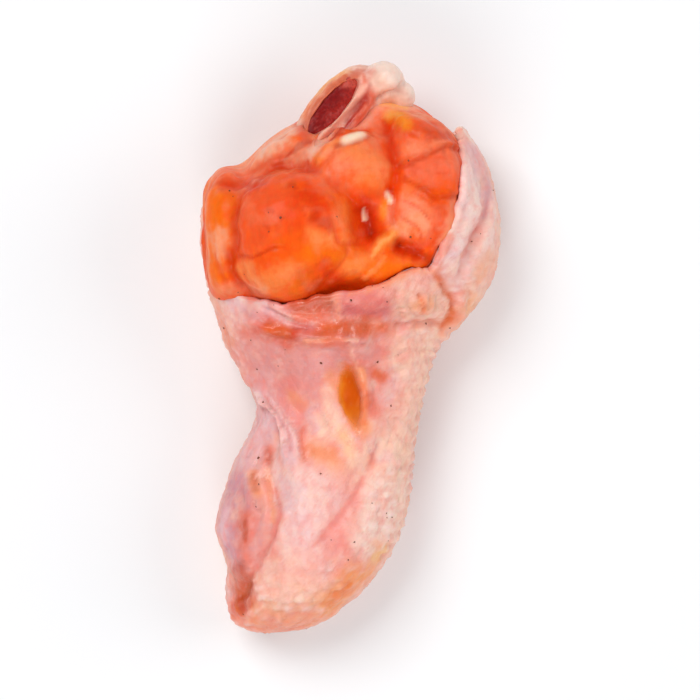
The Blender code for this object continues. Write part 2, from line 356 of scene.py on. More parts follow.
def finishPiece(obj, finish, node):
    obj.data.materials.clear()
    obj.data.materials.append(finish.material)
    selectOnly(obj)
    bpy.ops.object.shade_smooth()
    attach(obj, "root")
    if node:
        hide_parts(node)
    obj.data.calc_loop_triangles()
    print(obj.name, len(obj.data.loop_triangles), "triangles")


# The wing's own shape, on which the skin and the meat are both drawn

wing = {
    # along, left edge, right edge, top, underside, lean to the right, lean of both sides
    "sections": (
        (-47.8, -19.3, -5, 15, 3.5, 0, 0),
        (-43, -20.6, 1.3, 20.5, 0, 0, 0),
        (-36, -22, 7.2, 23.5, -2.5, 0, 0),
        (-28, -22.6, 10, 24, -2.5, 0, 0),
        (-19, -20.3, 11.4, 23, 0, 0, 0),
        (-10.5, -14.4, 12.7, 22.5, 1.5, 0, 0),
        (-4.2, -18.8, 13.9, 24, 0.5, 0, 0),
        (0.4, -21.2, 14.9, 26.5, -1, 1, 1),
        (4.6, -22.6, 19.6, 28.5, -3, 2, 2),
        (9.3, -24, 23.8, 30, -4, 5, 4),
        (14.6, -25, 25.4, 31.5, -4, 3, 1.2),
        (20, -25.4, 26, 32, -4, 2, 0),
        (26, -24.9, 25.4, 31.5, -4, 1.5, 0),
        (32, -19.4, 23.4, 29.5, -1.5, 1.5, 0),
        (37.2, -10.6, 20, 26.5, 2.5, 1, 0),
        (42, -6, 12, 24, 6.5, 0, 0),
    ),
    "elbowTip": (-12.5, -49.9, 8.5),
    "shoulderTip": (2.5, 45, 15),
    "columns": 16,
    "widestShare": 0.45,
    "upperRoundness": 0.9,
    "lowerRoundness": 0.6,
    "swell": 1.03,
    # the edges of the cut side: section, then the directions of its right and left edge
    "cutEdges": {10: (56, 188), 11: (54, 187), 12: (53, 186), 13: (49, 186), 14: (43, 187), 15: (24, 190)},
    "collarSection": 10,
    "lastSkinSection": 15,
    "rightColumn": 2,
    "leftColumn": 9,
    "cutSink": 2.8,
    "sinkGrowth": {14: 1.25, 15: 1.6},  # more of it by the bone's end
    # folds that the solids have too: height, half width, then x and y of each point
    "folds": (
        (1, 2.4, -16, 5, -10, 3.5, -5, 2.6, 1.5, 2.2),
        (-0.9, 2.2, -17, 8, -9, 6, -1, 5, 7, 5.6),
        (1.2, 2.6, 1, 2, 1.6, -4, 2.6, -11, 2.2, -18),
        (-1.3, 3, -0.5, -5, 0, -9, 0.8, -13),
        (1.3, 2.4, -17, -5, -13, -10, -10.5, -15, -10, -20),
        (-1.8, 3.2, -17, -12.5, -14, -18, -13.5, -25),
        (-0.9, 2.4, 3.4, -18, 0, -26, -3.5, -32),
        (-1.2, 2.4, -14.5, -31, -15.5, -37, -19, -42),
        (-1.6, 2.6, 9, 3.4, 14.5, 2.6, 19, 0.5),
        (-0.9, 2.4, 20.5, 33, 22, 24, 20.5, 14, 16.5, 8),
    ),
}


def sectionPoint(section, turn):
    along, left, right, top, underside, lean, bow = section
    half = (right - left) / 2 * wing["swell"]
    widest = underside + wing["widestShare"] * (top - underside)
    side, rise = math.cos(turn), math.sin(turn)
    across = math.copysign(abs(side) ** wing["upperRoundness"], side)
    if rise >= 0:
        height = widest + (top - widest) * wing["swell"] * rise ** wing["upperRoundness"]
    else:
        height = widest - (widest - underside) * wing["swell"] * (-rise) ** wing["lowerRoundness"]
    forward = along + (lean * across + bow * across**2) * max(rise, 0.0)
    return ((left + right) / 2 + half * across, forward, max(height, 0.0))


def inCut(ring, column):
    between = wing["rightColumn"] < column < wing["leftColumn"]
    return ring > wing["collarSection"] and (ring > wing["lastSkinSection"] or between)


def wingCage(name, sink=0.0):
    # a round primitive whose rings go to the wing's sections
    rings = len(wing["sections"]) + 1
    columns = wing["columns"]
    selectOnly()
    bpy.ops.mesh.primitive_uv_sphere_add(segments=columns, ring_count=rings, radius=1.0)
    cage = startPiece(name)
    grid = []
    for vert in cage.data.vertices:
        ring = round(math.acos(max(-1.0, min(1.0, -vert.co.z))) / math.pi * rings)
        column = round(math.atan2(vert.co.y, vert.co.x) / math.tau * columns) % columns
        grid.append((ring, column))
        if ring in (0, rings):
            vert.co = Vector(wing["shoulderTip"] if ring else wing["elbowTip"]) * mm
            continue
        right, left = wing["cutEdges"].get(ring, (None, None))
        turn = math.tau * column / columns
        if right is not None and column == wing["rightColumn"]:
            turn = math.radians(right)
        if left is not None and column == wing["leftColumn"]:
            turn = math.radians(left)
        x, y, z = sectionPoint(wing["sections"][ring - 1], turn)
        if inCut(ring, column):
            z -= sink * wing["sinkGrowth"].get(ring, 1.0) * max(math.sin(turn), 0.0)
        vert.co = Vector((x, y, z)) * mm
    faceOutward(cage)
    return cage, grid


def foldSurface(obj, folds):
    # the folds that the solids have, along lines that lie on the top of the surface
    points, normals = pointsOf(obj), normalsOf(obj)
    moved = points.copy()
    for height, width, *outline in folds:
        hits = [fromAbove(obj, x, y) for x, y in pairs(outline)]
        line = [np.array(place) / mm for hit, place, _ in hits if hit]
        nearest = np.full(len(points), np.inf)
        for start, end in zip(line, line[1:]):
            stretch = end - start
            share = np.clip((points - start) @ stretch / (stretch @ stretch), 0.0, 1.0)
            nearest = np.minimum(nearest, np.linalg.norm(points - start - share[:, None] * stretch, axis=1))
        moved += normals * (height * np.exp(-((nearest / width) ** 2)))[:, None]
    moved[:, 2] = np.maximum(moved[:, 2], 0.0)
    movePoints(obj, moved)


def aroundWing(points):
    # how far a point lies round the wing from its top, in millimetres, right side positive
    along, left, right, top, underside = np.array(wing["sections"]).T[:5]
    middle = np.interp(points[:, 1], along, (left + right) / 2)
    widest = np.interp(points[:, 1], along, underside + wing["widestShare"] * (top - underside))
    size = np.interp(points[:, 1], along, (right - left + top - underside) / 4)
    return np.arctan2(points[:, 0] - middle, points[:, 2] - widest) * size


# Skin

skinPiece = {
    "thickness": 1.5,
    # where the cut edge leaves the sections' line: place from above, reach, shift
    "rimShifts": (
        ((-11, 9.4), 4.6, (0, -1.6, -0.4)),
        ((10.6, 12.4), 3, (0, 1.3, 0.3)),
        ((15.4, 15.4), 2.4, (-0.8, -0.8, 0)),
        ((13.2, 14.2), 2.2, (0, -0.7, 0)),
        ((1, 10.6), 5.4, (0, -0.5, 0)),
        ((16.8, 25.6), 5.6, (1.9, 0, -0.9)),
        ((18.4, 32.6), 3.6, (0.8, 0, -0.3)),
    ),
    # place, radius, how much fuller
    "swells": (
        ((-19.6, -45.6, 9), 4.2, 1.1),
        ((-22.4, -31, 9.5), 3.8, 0.8),
        ((-21.6, -36.6, 9.5), 2, -0.7),
        ((-20.8, -23.4, 10), 2, -0.4),
        ((13.4, -7, 9.5), 6, -0.65),
        ((12.4, -17, 9.5), 6, -0.7),
    ),
    "outerLevels": 4,
    "innerLevels": 2,
    # how the lip rolls in: how far out and how deep each ring lies, in thicknesses
    "lipRings": ((0.28, 0.1), (0.42, 0.35), (0.4, 0.68), (0.2, 0.95)),
    # where the skin is taut: middle and half size of rounded areas seen from above
    "tautAreas": {
        "front": ((-5, -3), (12.5, 17)),
        "shin": ((-4, -26), (7, 12)),
        "lobe": ((-18, -27), (6.5, 11)),
    },
    # how far the feather pits fade there, on the flap and by the collar
    "pitFade": {"front": 0.95, "shin": 0.55, "flap": 0.7, "collar": 0.8, "lobe": 0.75},
    "rowStep": 2.05,  # rows of feather pits across the wing
    "rowWander": 2.2,
    "pitStep": 2.5,
    "pitWander": 1.4,
    # how unlike the pits are across, along and in size: share, turn from row to row, turn from pit to pit
    "pitJitter": ((0.2, 12.99, 78.23), (0.16, 39.35, 11.13), (0.25, 5.7, 3.3)),
    "pitRadius": 0.85,
    "pitHeight": 0.3,
    "strokes": (
        # under the collar
        ("step", 0.3, 0.8, 1.9, 1.4, -1.2, 1.8, -3.6, 1.4, -7.8, 1.5),
        ("ridge", 0.2, 0.8, -0.4, 1.7, 1.2, 1.6),
        ("ridge", -0.7, 2, -0.8, 2.2, 2.6, 1.6),
        ("ridge", 0.5, 0.55, -14.9, 8.1, -11.7, 6.3, -8.6, 5.1, -4.6, 3.9, -2.2, 3.5),
        ("groove", 0.5, 0.4, -15.4, 7.2, -12, 5.6, -8.6, 4.3, -5, 3.4),
        ("ridge", 0.45, 0.5, -14.5, 6.7, -10.2, 4.3, -6.2, 3.3),
        ("groove", 0.3, 0.35, -19.4, 7.4, -16.4, 5.6, -13, 3.6),
        ("ridge", 0.3, 0.5, -18.4, 5.2, -15.4, 3.9, -12.4, 2.6),
        ("ridge", 0.55, 0.5, -2.4, 8.1, -2, 6.3, -1.2, 4.4),
        ("groove", 0.4, 0.4, -3.2, 8, -2.9, 6.2, -2.3, 4.4),
        ("ridge", 0.3, 0.4, -6.8, 7.2, -5.4, 5.8, -4.6, 4.4),
        ("groove", 0.35, 0.5, -1, 5, 2, 4.6, 6.6, 4.4),
        ("groove", 0.35, 0.5, -14.4, 1.4, -11, 1.7, -8.2, 1),
        # the upright ridges by the pool
        ("ridge", 0.3, 0.45, 0.2, 0.6, 0.7, -1.7, 1.7, -3.9, 2.3, -6.4, 2.5, -9.6, 2.4, -13.4),
        ("ridge", 0.3, 0.6, -3, -6, -2.1, -8.8, -1.4, -11.2, 0.4, -14.4, 1, -17),
        ("groove", 0.3, 0.5, 3.6, -3, 4, -7, 3.8, -11),
        # right of the collar
        ("groove", 0.75, 0.5, 7.3, 4.1, 10.9, 4, 14.8, 4.3),
        ("ridge", 0.4, 0.8, 8, 2.9, 11.4, 2.8, 14.6, 2.6),
        ("groove", 0.45, 0.4, 7.6, 10.2, 7.9, 7.6, 8.8, 5),
        ("ridge", 0.75, 1.3, 11.6, 7.6, 13.4, 7.4),
        ("groove", 0.4, 0.35, 11.4, 9.2, 12.2, 7.9, 12.4, 6.4),
        ("groove", 0.5, 0.4, 10, 9.6, 9.9, 7.4, 11.2, 5.4, 13.4, 5.3, 15, 6.8, 14.9, 9.2),
        ("groove", 0.6, 0.45, 15, 12, 16.4, 9.8, 17.6, 7.9, 17.2, 5.1, 15.2, 3.1),
        ("ridge", 0.5, 0.7, 16.6, 11.6, 18.6, 9.4, 19, 6, 17.4, 3.2),
        ("groove", 0.35, 0.4, 19.6, 11.8, 20.6, 8.8, 19.8, 5.6),
        # flap
        ("groove", 0.65, 0.45, 24, 27, 23.3, 24.1, 21.6, 19.9, 19.5, 15.6, 18.1, 12.1),
        ("ridge", 0.6, 0.8, 24.4, 23, 22.8, 18.6, 20.8, 14.8, 19.4, 11.6),
        ("ridge", 0.4, 0.7, 21.8, 25, 20, 20.4, 18, 16),
        ("groove", 0.3, 0.4, 21.6, 33.5, 22.6, 29.6, 22.2, 26),
        ("groove", 0.3, 0.35, 19.8, 30, 20.6, 27, 19.4, 22.6),
        ("groove", 0.3, 0.4, 25.2, 20, 24, 15.4, 21.6, 11.4),
        # web fold at the waist
        ("step", 0.75, 0.9, -10.4, -19.6, -11, -15.2, -11.7, -12.8, -13.3, -10.4, -16.1, -8),
        ("step", 0.5, 0.7, -8.6, -18.4, -9.4, -14.4, -11.3, -11.2, -13.7, -8.4),
        ("groove", 0.75, 0.5, -14.9, -9.6, -12.9, -12, -12.3, -14.4, -12.9, -17.7),
        ("groove", 0.4, 0.45, -8.3, -12.8, -8, -16.3, -7.8, -19.3),
        ("ridge", 0.4, 0.7, -18.9, -19.1, -16.9, -16.3, -14.2, -12.8),
        ("groove", 0.4, 0.5, -16.6, -20.4, -14.9, -17.4, -13.6, -15),
        ("ridge", 0.75, 1.2, -6.2, -9.8, -5.4, -11.6, -5, -13.2),
        ("groove", 0.35, 0.5, -3.9, -8.4, -3.6, -11.6, -2.6, -15),
        # shin
        ("groove", 0.4, 0.5, 4.8, -15.6, 4.5, -17.7, 2.9, -20.8),
        ("groove", 0.3, 0.5, 2.4, -20.8, 1, -24.7, -1.4, -27.9, -3.8, -31, -7.2, -34.6),
        ("ridge", 0.25, 0.9, 3.4, -22.4, 2.2, -25.8, -0.4, -29.4, -3.4, -32.6),
        ("groove", 0.3, 0.4, -1.6, -21, -3.2, -24.4, -5.6, -27.4),
        ("ridge", 0.3, 0.9, -5.6, -20.4, -8, -25, -8.6, -30),
        # left lobe
        ("groove", 0.3, 0.5, -13.7, -20.7, -12.9, -24.7, -12.1, -27.9, -13.3, -32.2, -15.3, -35.8),
        ("groove", 0.4, 0.5, -14.4, -34, -15.3, -35.8, -16.9, -39, -18.1, -42.7),
        ("ridge", 0.3, 0.7, -11.8, -23.7, -10.9, -27.9, -12.1, -32.2, -14, -35.8, -15.6, -39),
        ("ridge", 0.55, 1.1, -20.4, -25, -21.2, -30.2, -20.6, -34.6),
        ("groove", 0.45, 0.5, -18.6, -22.6, -18.4, -27, -19.4, -31, -18.6, -35.4),
        ("groove", 0.5, 0.4, -22.6, -35.6, -20.4, -36.2, -18, -37.4),
        ("groove", 0.4, 0.4, -16.8, -24.8, -15.4, -29, -16.6, -33.4),
        ("ridge", 0.4, 0.6, -15.2, -22, -14.4, -25.6, -14.8, -30),
        # elbow end
        ("groove", 0.4, 0.5, -16.9, -40.2, -18.3, -43.3, -18, -46),
        ("groove", 0.35, 0.5, -10, -36.4, -6, -38.2, -1.6, -37.8),
        ("groove", 0.3, 0.4, -13, -43.5, -9, -44.8, -5, -43.6, -2, -41),
        ("groove", 0.3, 0.4, -15.4, -41.4, -12.6, -40.4, -9.4, -41.2),
    ),
    "palette": {
        "cream": (255, 202, 178), "pink": (244, 168, 154), "mauve": (220, 138, 134),
        "lavender": (230, 182, 186), "magenta": (186, 66, 78), "petal": (255, 212, 206),
        "dusk": (204, 140, 152), "salmon": (234, 110, 78), "orange": (234, 100, 26),
        "deepOrange": (200, 76, 0), "redOrange": (210, 62, 16), "white": (250, 220, 206),
        "yellow": (250, 190, 120), "wine": (150, 44, 34), "brown": (176, 58, 14),
        "rose": (236, 130, 120), "peach": (248, 154, 108), "golden": (250, 150, 74),
    },
    "mottleTint": (236, 180, 160),
    "seamTint": (224, 96, 80),
    # the colours that are wet
    "marinadeShades": ("orange", "deepOrange", "redOrange", "brown", "peach", "golden"),
    "paint": (
        # broad areas
        ("mauve", 0.8, 6, -14, 1, -9, -2, -6.5, -6.5, -3, -2),
        ("mauve", 0.3, 3.4, 4.5, -6, 4.4, -12.5),
        ("cream", 0.8, 4.4, 12.5, 0, 11.6, -10, 9.4, -22, 6.4, -33),
        # painted highlights on the cream band at the right and on the shin
        ("white", 0.7, 3.2, 6.1, -23.1, 4.9, -27.1, 3.6, -32.6),
        ("white", 0.6, 2.8, -9.6, -22.6, -8.6, -28, -9.6, -34),
        ("lavender", 0.6, 3.4, -17.6, -15, -18.6, -21),
        ("petal", 0.6, 3.6, -4.4, -22, -6, -28, -6.4, -36),
        ("lavender", 0.5, 1.8, -9, -24, -8.6, -32),
        ("pink", 0.5, 1.6, 0.6, -20, -0.6, -24.6),
        ("pink", 0.6, 4, -10, -38, -4, -39),
        ("cream", 0.5, 3, -12, -42, -7, -43.6),
        ("peach", 0.6, 2.4, -18.1, -46.1, -12.9, -48, -7.8, -46.9, -1.4, -44.1, 3, -40),
        ("rose", 0.45, 3, -2, -34, 0.4, -37.6),
        # under the collar
        ("lavender", 0.8, 2.1, -20.9, 8.7, -17.3, 7.1, -13.7, 5.4),
        ("mauve", 0.7, 1.5, -17, 6.4, -13, 5.4, -10.4, 6.8),
        ("white", 0.4, 0.9, -18.6, 8.4, -15.6, 7),
        ("petal", 0.6, 0.45, -14.9, 7.6, -11.7, 6.2, -8.6, 5, -5.6, 4.2),
        ("lavender", 0.8, 0.6, -14.5, 6.6, -10.2, 4.3, -6.2, 3.3),
        ("wine", 0.35, 0.35, -13.6, 6.9, -10.2, 5.2, -7.2, 4.2),
        ("redOrange", 0.75, 1.5, -9, 6.4, -6, 6.2, -3.6, 6.4),
        ("rose", 0.7, 0.4, -9.6, 7.4, -6.6, 7.8, -4.4, 8.5),
        ("salmon", 0.6, 1.6, -17, 3.4, -14, 2.6, -10, 1.6),
        ("redOrange", 0.9, 1.7, -14.2, 3.4, -12.2, 2.9, -10.4, 2.6),
        ("orange", 0.8, 1.2, -13.4, 3.2, -11.2, 2.8),
        ("deepOrange", 0.5, 1.2, -13, 3.1, -11.2, 2.9),
        ("redOrange", 0.8, 1.1, -9.4, 3, -5, 2.9, -1.4, 3.3),
        ("wine", 0.5, 0.3, -9.4, 3.4, -7.4, 3.2),
        ("magenta", 0.95, 2.3, -0.6, 6.9, 2.5, 7.1, 5, 7.3),
        ("rose", 0.5, 2.6, 0, 7, 6.6, 7.8),
        ("rose", 0.8, 0.6, -2.4, 8.6, -2, 6.3, -1.5, 4.5),
        ("peach", 0.5, 0.4, -2.5, 8.6, -2.1, 6.3, -1.6, 4.5),
        ("deepOrange", 0.75, 1, -3.4, 3, 1.7, 2.9, 5.2, 3.3),
        ("orange", 0.6, 1.4, -4.4, 3.6, 1.7, 3.5, 6.2, 3.7),
        ("salmon", 0.5, 1.5, 4.4, 1.6, 5.4, -0.4),
        ("peach", 0.6, 0.4, -7.4, 1.4, -3, 1.4, 0.6, 1.6, 1.5, 1.5),
        ("deepOrange", 0.6, 0.6, -6, 2.4, -2, 2.3, 0.2, 2.6),
        ("salmon", 0.6, 0.8, -3.6, 1.3, -1, 1.5),
        # painted highlight on the ridge under the collar
        ("cream", 0.9, 0.6, -0.2, 1.6, 1.2, 1.7),
        ("redOrange", 0.5, 0.5, 2, 2.2, 2.3, 0.9),
        ("salmon", 0.5, 0.5, -8, 0.9, -3.6, 0.6, -0.6, 0.8),
        ("deepOrange", 0.7, 1.2, -1, 3.8, 2.6, 3.9),
        # marinade colour and painted shadow where the meat overhangs the rim
        ("deepOrange", 0.9, 1, -9.6, 7.7, -6.6, 7.9, -3.8, 8.3),
        ("salmon", 0.7, 1.7, -7.4, 6.2, -4.2, 6),
        ("salmon", 0.6, 0.7, -17, 8.6, -12, 7.7, -9, 7.9),
        # marinade colour and painted shadow where the meat overhangs the rim
        ("deepOrange", 0.6, 0.5, -15, 8.7, -12, 8.2, -9, 8.4),
        ("rose", 0.6, 1.6, 1, 8.8, 6.8, 9.8),
        ("peach", 0.7, 0.8, 0, 9.6, 5, 10.9, 8, 12, 11, 13, 13.8, 13.4),
        ("orange", 0.35, 0.6, 2, 10.2, 6, 11.4, 9, 12.6, 13, 13.4),
        ("peach", 0.7, 1.4, -24.2, 8.6, -22.8, 5, -21.2, 1.6),
        ("salmon", 0.5, 1.1, -23, 5.6, -21.2, 1.8, -19.6, -2.4),
        # by the pool
        ("salmon", 0.45, 1.3, 0, -0.2, 1.2, -2.4, 3, -4),
        ("rose", 0.4, 1.6, 5, -1, 4.6, -3),
        ("rose", 0.75, 2.1, -10, -7.4, -9.4, -11.6, -8.2, -15.8),
        ("mauve", 0.55, 2.4, -16.4, -3.6, -15.2, -7.4, -15.2, -12.4),
        ("mauve", 0.6, 2.2, -11.4, -8.6, -9.4, -10.4, -8.8, -13.6, -7.8, -16.6),
        ("mauve", 0.4, 2, 0.8, 1, 2.6, -2.4, 4.6, -2.4),
        ("brown", 0.35, 1.3, -8.6, 7.4, -4, 7.8),
        ("peach", 0.6, 1.2, -3.4, -4.6, -3, -8),
        ("orange", 0.5, 0.8, 0.9, -2.6, 1.5, -5),
        ("petal", 0.6, 1, -12.6, -17, -12.8, -20.6, -12.6, -26.6),
        ("dusk", 0.4, 1.2, -21.4, -30.4, -21, -33.6),
        ("cream", 0.9, 1.1, -4.2, -7, -3.4, -9.8, -2.2, -12.6, -0.8, -16, 0.6, -19),
        ("peach", 0.9, 1.7, -0.6, -4.4, -0.8, -7, 0.2, -10.4, 1.6, -13.6),
        ("orange", 0.9, 1.1, -0.4, -3.6, -0.4, -7, 0.4, -10.4),
        ("cream", 0.35, 0.4, 0.2, 0.6, 0.6, -1.7, 1, -3),
        ("peach", 0.9, 0.6, 1.6, -3.4, 2.3, -6.4, 2.5, -9.6, 2.4, -13.4),
        ("orange", 0.5, 0.5, 2.1, -6, 2.5, -9.6, 2.4, -12.4),
        ("yellow", 0.4, 1.2, -1.2, -14.6, -0.4, -17),
        ("peach", 0.5, 2.3, -7, -17, -4.4, -18.6, -2.4, -19.6),
        ("golden", 0.4, 1.6, -5.6, -17.6, -3.2, -18.4),
        ("orange", 0.25, 1.1, -4.6, -18, -2.8, -17.9),
        ("orange", 0.18, 0.8, -7.6, -17, -6.4, -17.8),
        ("salmon", 0.75, 1.3, 4.6, -3.7, 5.8, -4.5),
        ("orange", 0.5, 0.9, 4.7, -4, 5.5, -4.8),
        ("brown", 0.2, 0.8, 4.6, -4, 5.4, -4.8),
        ("salmon", 0.6, 0.9, 2.9, -8, 3.4, -9.4, 4.6, -11),
        ("brown", 0.15, 0.8, 3, -8.4, 3.6, -9.8),
        ("peach", 0.6, 1.2, -9.4, -8.2, -8.4, -9.4),
        ("salmon", 0.5, 0.7, 3.9, -18.4, 3.6, -19.6),
        ("rose", 0.5, 0.5, 4.6, -16.4, 2.9, -20.6),
        # painted highlight on the ridge at the waist, in lavender and pink
        ("lavender", 0.8, 0.9, -6.6, -10.4, -6.2, -12.2, -5.6, -13.8),
        ("pink", 0.5, 0.9, -6.4, -11, -5.8, -13.2),
        ("rose", 0.5, 0.8, -8.4, -9.6, -8.6, -12.4),
        # web fold and left lobe
        ("lavender", 0.8, 1.6, -15.6, -8.4, -12.6, -11.2, -10.6, -14.6, -10.2, -19),
        # painted highlight along the web fold
        ("petal", 0.9, 0.55, -16.1, -8, -13.3, -10.4, -11.7, -12.8, -10.9, -16),
        ("mauve", 0.6, 0.5, -14.6, -8.4, -12.2, -11, -10.6, -13.6, -10.2, -17),
        # painted highlight along the web fold
        ("petal", 0.5, 0.35, -13.7, -8.4, -11.3, -11.2, -9.4, -14.4, -9.2, -18),
        ("mauve", 0.4, 1.1, -14, -9.6, -12, -11.4, -11, -13.4),
        # painted shade in the web fold's groove
        ("wine", 0.5, 0.45, -14.9, -9.8, -12.9, -12.2, -12.4, -14.4),
        ("salmon", 0.6, 0.6, -8.2, -13.6, -8, -16.3, -7.8, -18.9),
        ("lavender", 0.9, 2, -18.9, -19.1, -16.9, -16.3, -14.2, -13),
        ("salmon", 0.6, 0.9, -13.8, -17.2, -14.2, -19.3),
        ("brown", 0.5, 0.5, -13.9, -17.6, -14.1, -19),
        ("mauve", 0.7, 2.8, -17, -25, -17.2, -30, -17, -36),
        ("dusk", 0.9, 1.6, -19.6, -22.4, -20.7, -25.7, -21.2, -30.2, -20.6, -34.8),
        ("dusk", 0.6, 1.2, -18, -25, -17.4, -27.6),
        # painted highlight on the left lobe's ridge
        ("lavender", 0.8, 0.6, -20.6, -27.6, -21.3, -30, -21, -33),
        ("salmon", 0.5, 1.2, -18.4, -34, -17.2, -36.4),
        ("peach", 0.8, 0.9, -16.5, -21.6, -15.7, -24.4),
        ("brown", 0.55, 0.7, -16.3, -21.8, -15.9, -23.6),
        ("salmon", 0.8, 1.3, -17.8, -28.8, -18, -32.6),
        ("brown", 0.6, 0.75, -18, -29.6, -18, -32.2),
        # painted highlight beside the brown spot
        ("rose", 0.7, 0.5, -17, -29.2, -16.8, -31.8),
        ("peach", 0.6, 0.5, -14, -20.6, -13.6, -25.4, -13.2, -29.4),
        ("lavender", 0.6, 1, -11.4, -22, -10.8, -27),
        ("rose", 0.75, 0.5, -13, -24, -12.1, -27.9, -13.3, -32.2, -15.3, -35.8, -16.9, -39),
        ("salmon", 0.3, 1.8, -20, -44.6, -15.6, -47.6, -10, -48.6, -5, -47),
        ("redOrange", 0.8, 1.6, -17.8, -40, -18.6, -44.4),
        ("brown", 0.9, 0.8, -16.9, -40.2, -17.6, -41.6, -18.7, -43.3),
        ("brown", 0.5, 1.4, -17.4, -42, -18.4, -44.2),
        ("brown", 0.65, 1.6, -19.4, -38.2, -18.8, -41.4),
        ("deepOrange", 0.6, 1, -18.2, -41.6, -18.9, -43.2),
        ("pink", 0.4, 2.2, -14.4, -36.6, -12.4, -41),
        # shin and elbow
        ("rose", 0.6, 0.5, 2, -22, 1, -24.7, -1.4, -27.9, -3.8, -31, -6.2, -33.2),
        ("rose", 0.25, 1.6, 2.6, -24, -0.8, -28.8, -4, -32.4),
        ("golden", 0.75, 2.2, -3.6, -42.8, -1.6, -41, 0.6, -39),
        ("orange", 0.4, 1.2, -2.6, -42.6, -0.8, -41),
        ("golden", 0.6, 1.2, 2.4, -38.6, 4.6, -36.4),
        # painted highlight on the cream band at the right
        ("white", 0.5, 2.2, 3, -33, 5.2, -28.6),
        ("peach", 0.6, 1.4, 4.6, -33.2, 5.4, -35),
        ("yellow", 0.65, 0.8, 4.5, -35.4, 5.9, -34.2),
        # right of the collar and flap
        ("peach", 0.7, 2.3, 21, 9.8, 20.2, 6.7, 18, 3.9),
        ("salmon", 0.35, 1.6, 23.6, 12.6, 22.2, 8.8, 20.2, 5.4),
        ("yellow", 0.5, 1, 21.4, 9, 20.4, 6.4),
        ("cream", 0.8, 2.2, 9.4, 9.4, 10.4, 6.4, 13.8, 6, 15, 9),
        ("peach", 0.7, 1.3, 11.5, 7.6, 13.4, 7.5),
        ("orange", 0.6, 0.4, 11.6, 8.8, 12.4, 7.4, 12.3, 6.2),
        ("orange", 0.85, 0.6, 14.8, 12.4, 16.4, 9.8, 17.6, 7.9, 17.2, 5.1, 15.8, 3.7),
        ("salmon", 0.5, 0.5, 7.8, 4.2, 10.9, 4, 14.8, 4.3),
        ("cream", 0.8, 2.6, 22, 11, 24.6, 16, 25.2, 22, 24, 30),
        ("petal", 0.9, 2, 16.6, 15, 18.6, 20, 20.4, 26, 20.6, 31, 21.8, 34.6),
        ("lavender", 0.5, 0.8, 17.4, 15.6, 19.2, 19.6, 20.4, 24),
        ("white", 0.6, 0.8, 18.6, 18, 20.6, 23, 21.4, 28),
        ("petal", 0.6, 1.4, 22.6, 15.6, 24.2, 20.6, 24.4, 27),
        # painted shade in the flap's fold
        ("rose", 0.55, 0.4, 23.6, 25, 21.6, 19.9, 19.5, 15.6, 18.3, 12.6),
        # painted shade along the flap's right edge
        ("dusk", 0.45, 1.6, 21.4, 33.6, 22.6, 30.4, 23.8, 27),
        ("mauve", 0.2, 0.8, 22.6, 24.1, 20.8, 19.9, 18.8, 15.6),
        ("dusk", 0.55, 0.9, 23.9, 28.4, 23.2, 25.6, 22.4, 23.4),
        ("white", 0.9, 1.2, 22.2, 36.4, 19.4, 37.6),
        ("petal", 0.6, 1.4, 18.4, 11, 19.4, 13.4),
        ("peach", 0.5, 1.4, 22.6, 12.4, 23.6, 15.6),
        ("salmon", 0.6, 0.5, 15.2, 13.4, 15.6, 15.4, 17, 19),
    ),
}


def sheet(name, levels):
    made, grid = wingCage(name)
    last, collar = wing["lastSkinSection"], wing["collarSection"]
    opened = []
    for face in made.data.polygons:
        rings = [grid[v][0] for v in face.vertices]
        columns = [grid[v][1] for v in face.vertices]
        between = wing["rightColumn"] <= min(columns) and max(columns) <= wing["leftColumn"]
        opened.append(min(rings) >= last or (min(rings) >= collar and between))
    editFaces(made, opened, lambda: bpy.ops.mesh.delete(type="FACE"))
    modify(made, "SUBSURF", levels=levels, render_levels=levels)
    foldSurface(made, wing["folds"])
    points = pointsOf(made)
    upper = smoothStep(13.0, 19.0, points[:, 2])
    for place, reach, shift in skinPiece["rimShifts"]:
        points += np.array(shift) * (near(points[:, :2], place, reach) * upper)[:, None]
    movePoints(made, points)
    return made


def pitField(points):
    # raised feather pits in staggered rows across the wing, 1 on a pit's top, and the wave of their rows
    rowStep, pitStep = skinPiece["rowStep"], skinPiece["pitStep"]
    rows = (points[:, 1] + skinPiece["rowWander"] * cloud(points, 8.0, 31)) / rowStep
    around = (aroundWing(points) + skinPiece["pitWander"] * cloud(points, 6.0, 32)) / pitStep
    best = np.full(len(points), 9.0)
    for rowShift in (-1, 0, 1):
        row = np.round(rows) + rowShift
        column = around - 0.5 * (row % 2)
        for columnShift in (-1, 0, 1):
            cell = np.round(column) + columnShift
            jitterX, jitterY, unlike = (share * np.sin(row * rowTurn + cell * cellTurn)
                                        for share, rowTurn, cellTurn in skinPiece["pitJitter"])
            across = (column - cell - jitterX) * pitStep * 0.8
            along = (rows - row - jitterY) * rowStep * 1.15
            best = np.minimum(best, np.hypot(across, along) / (1.0 + unlike))
    return np.exp(-((best / skinPiece["pitRadius"]) ** 2)), np.cos(rows * math.tau)


def selectRim(obj):
    selectOnly(obj)
    bpy.ops.object.mode_set(mode="EDIT")
    bpy.ops.mesh.select_mode(type="EDGE")
    bpy.ops.mesh.select_all(action="DESELECT")
    others = ("extend", "use_wire", "use_multi_face", "use_non_contiguous", "use_verts")
    bpy.ops.mesh.select_non_manifold(**{name: False for name in others})


def creases(points, size, seed, across=1.0, along=1.0, turn=0.0):
    # thin lines that wander like creases: 1 on a line, 0 between, stretched along a turned direction
    east, north = turned(points[:, 0], points[:, 1], turn)
    stretched = np.column_stack([east / across, north / along, points[:, 2] / across])
    return np.exp(-((cloud(stretched, size, seed, 2) / 0.09) ** 2))


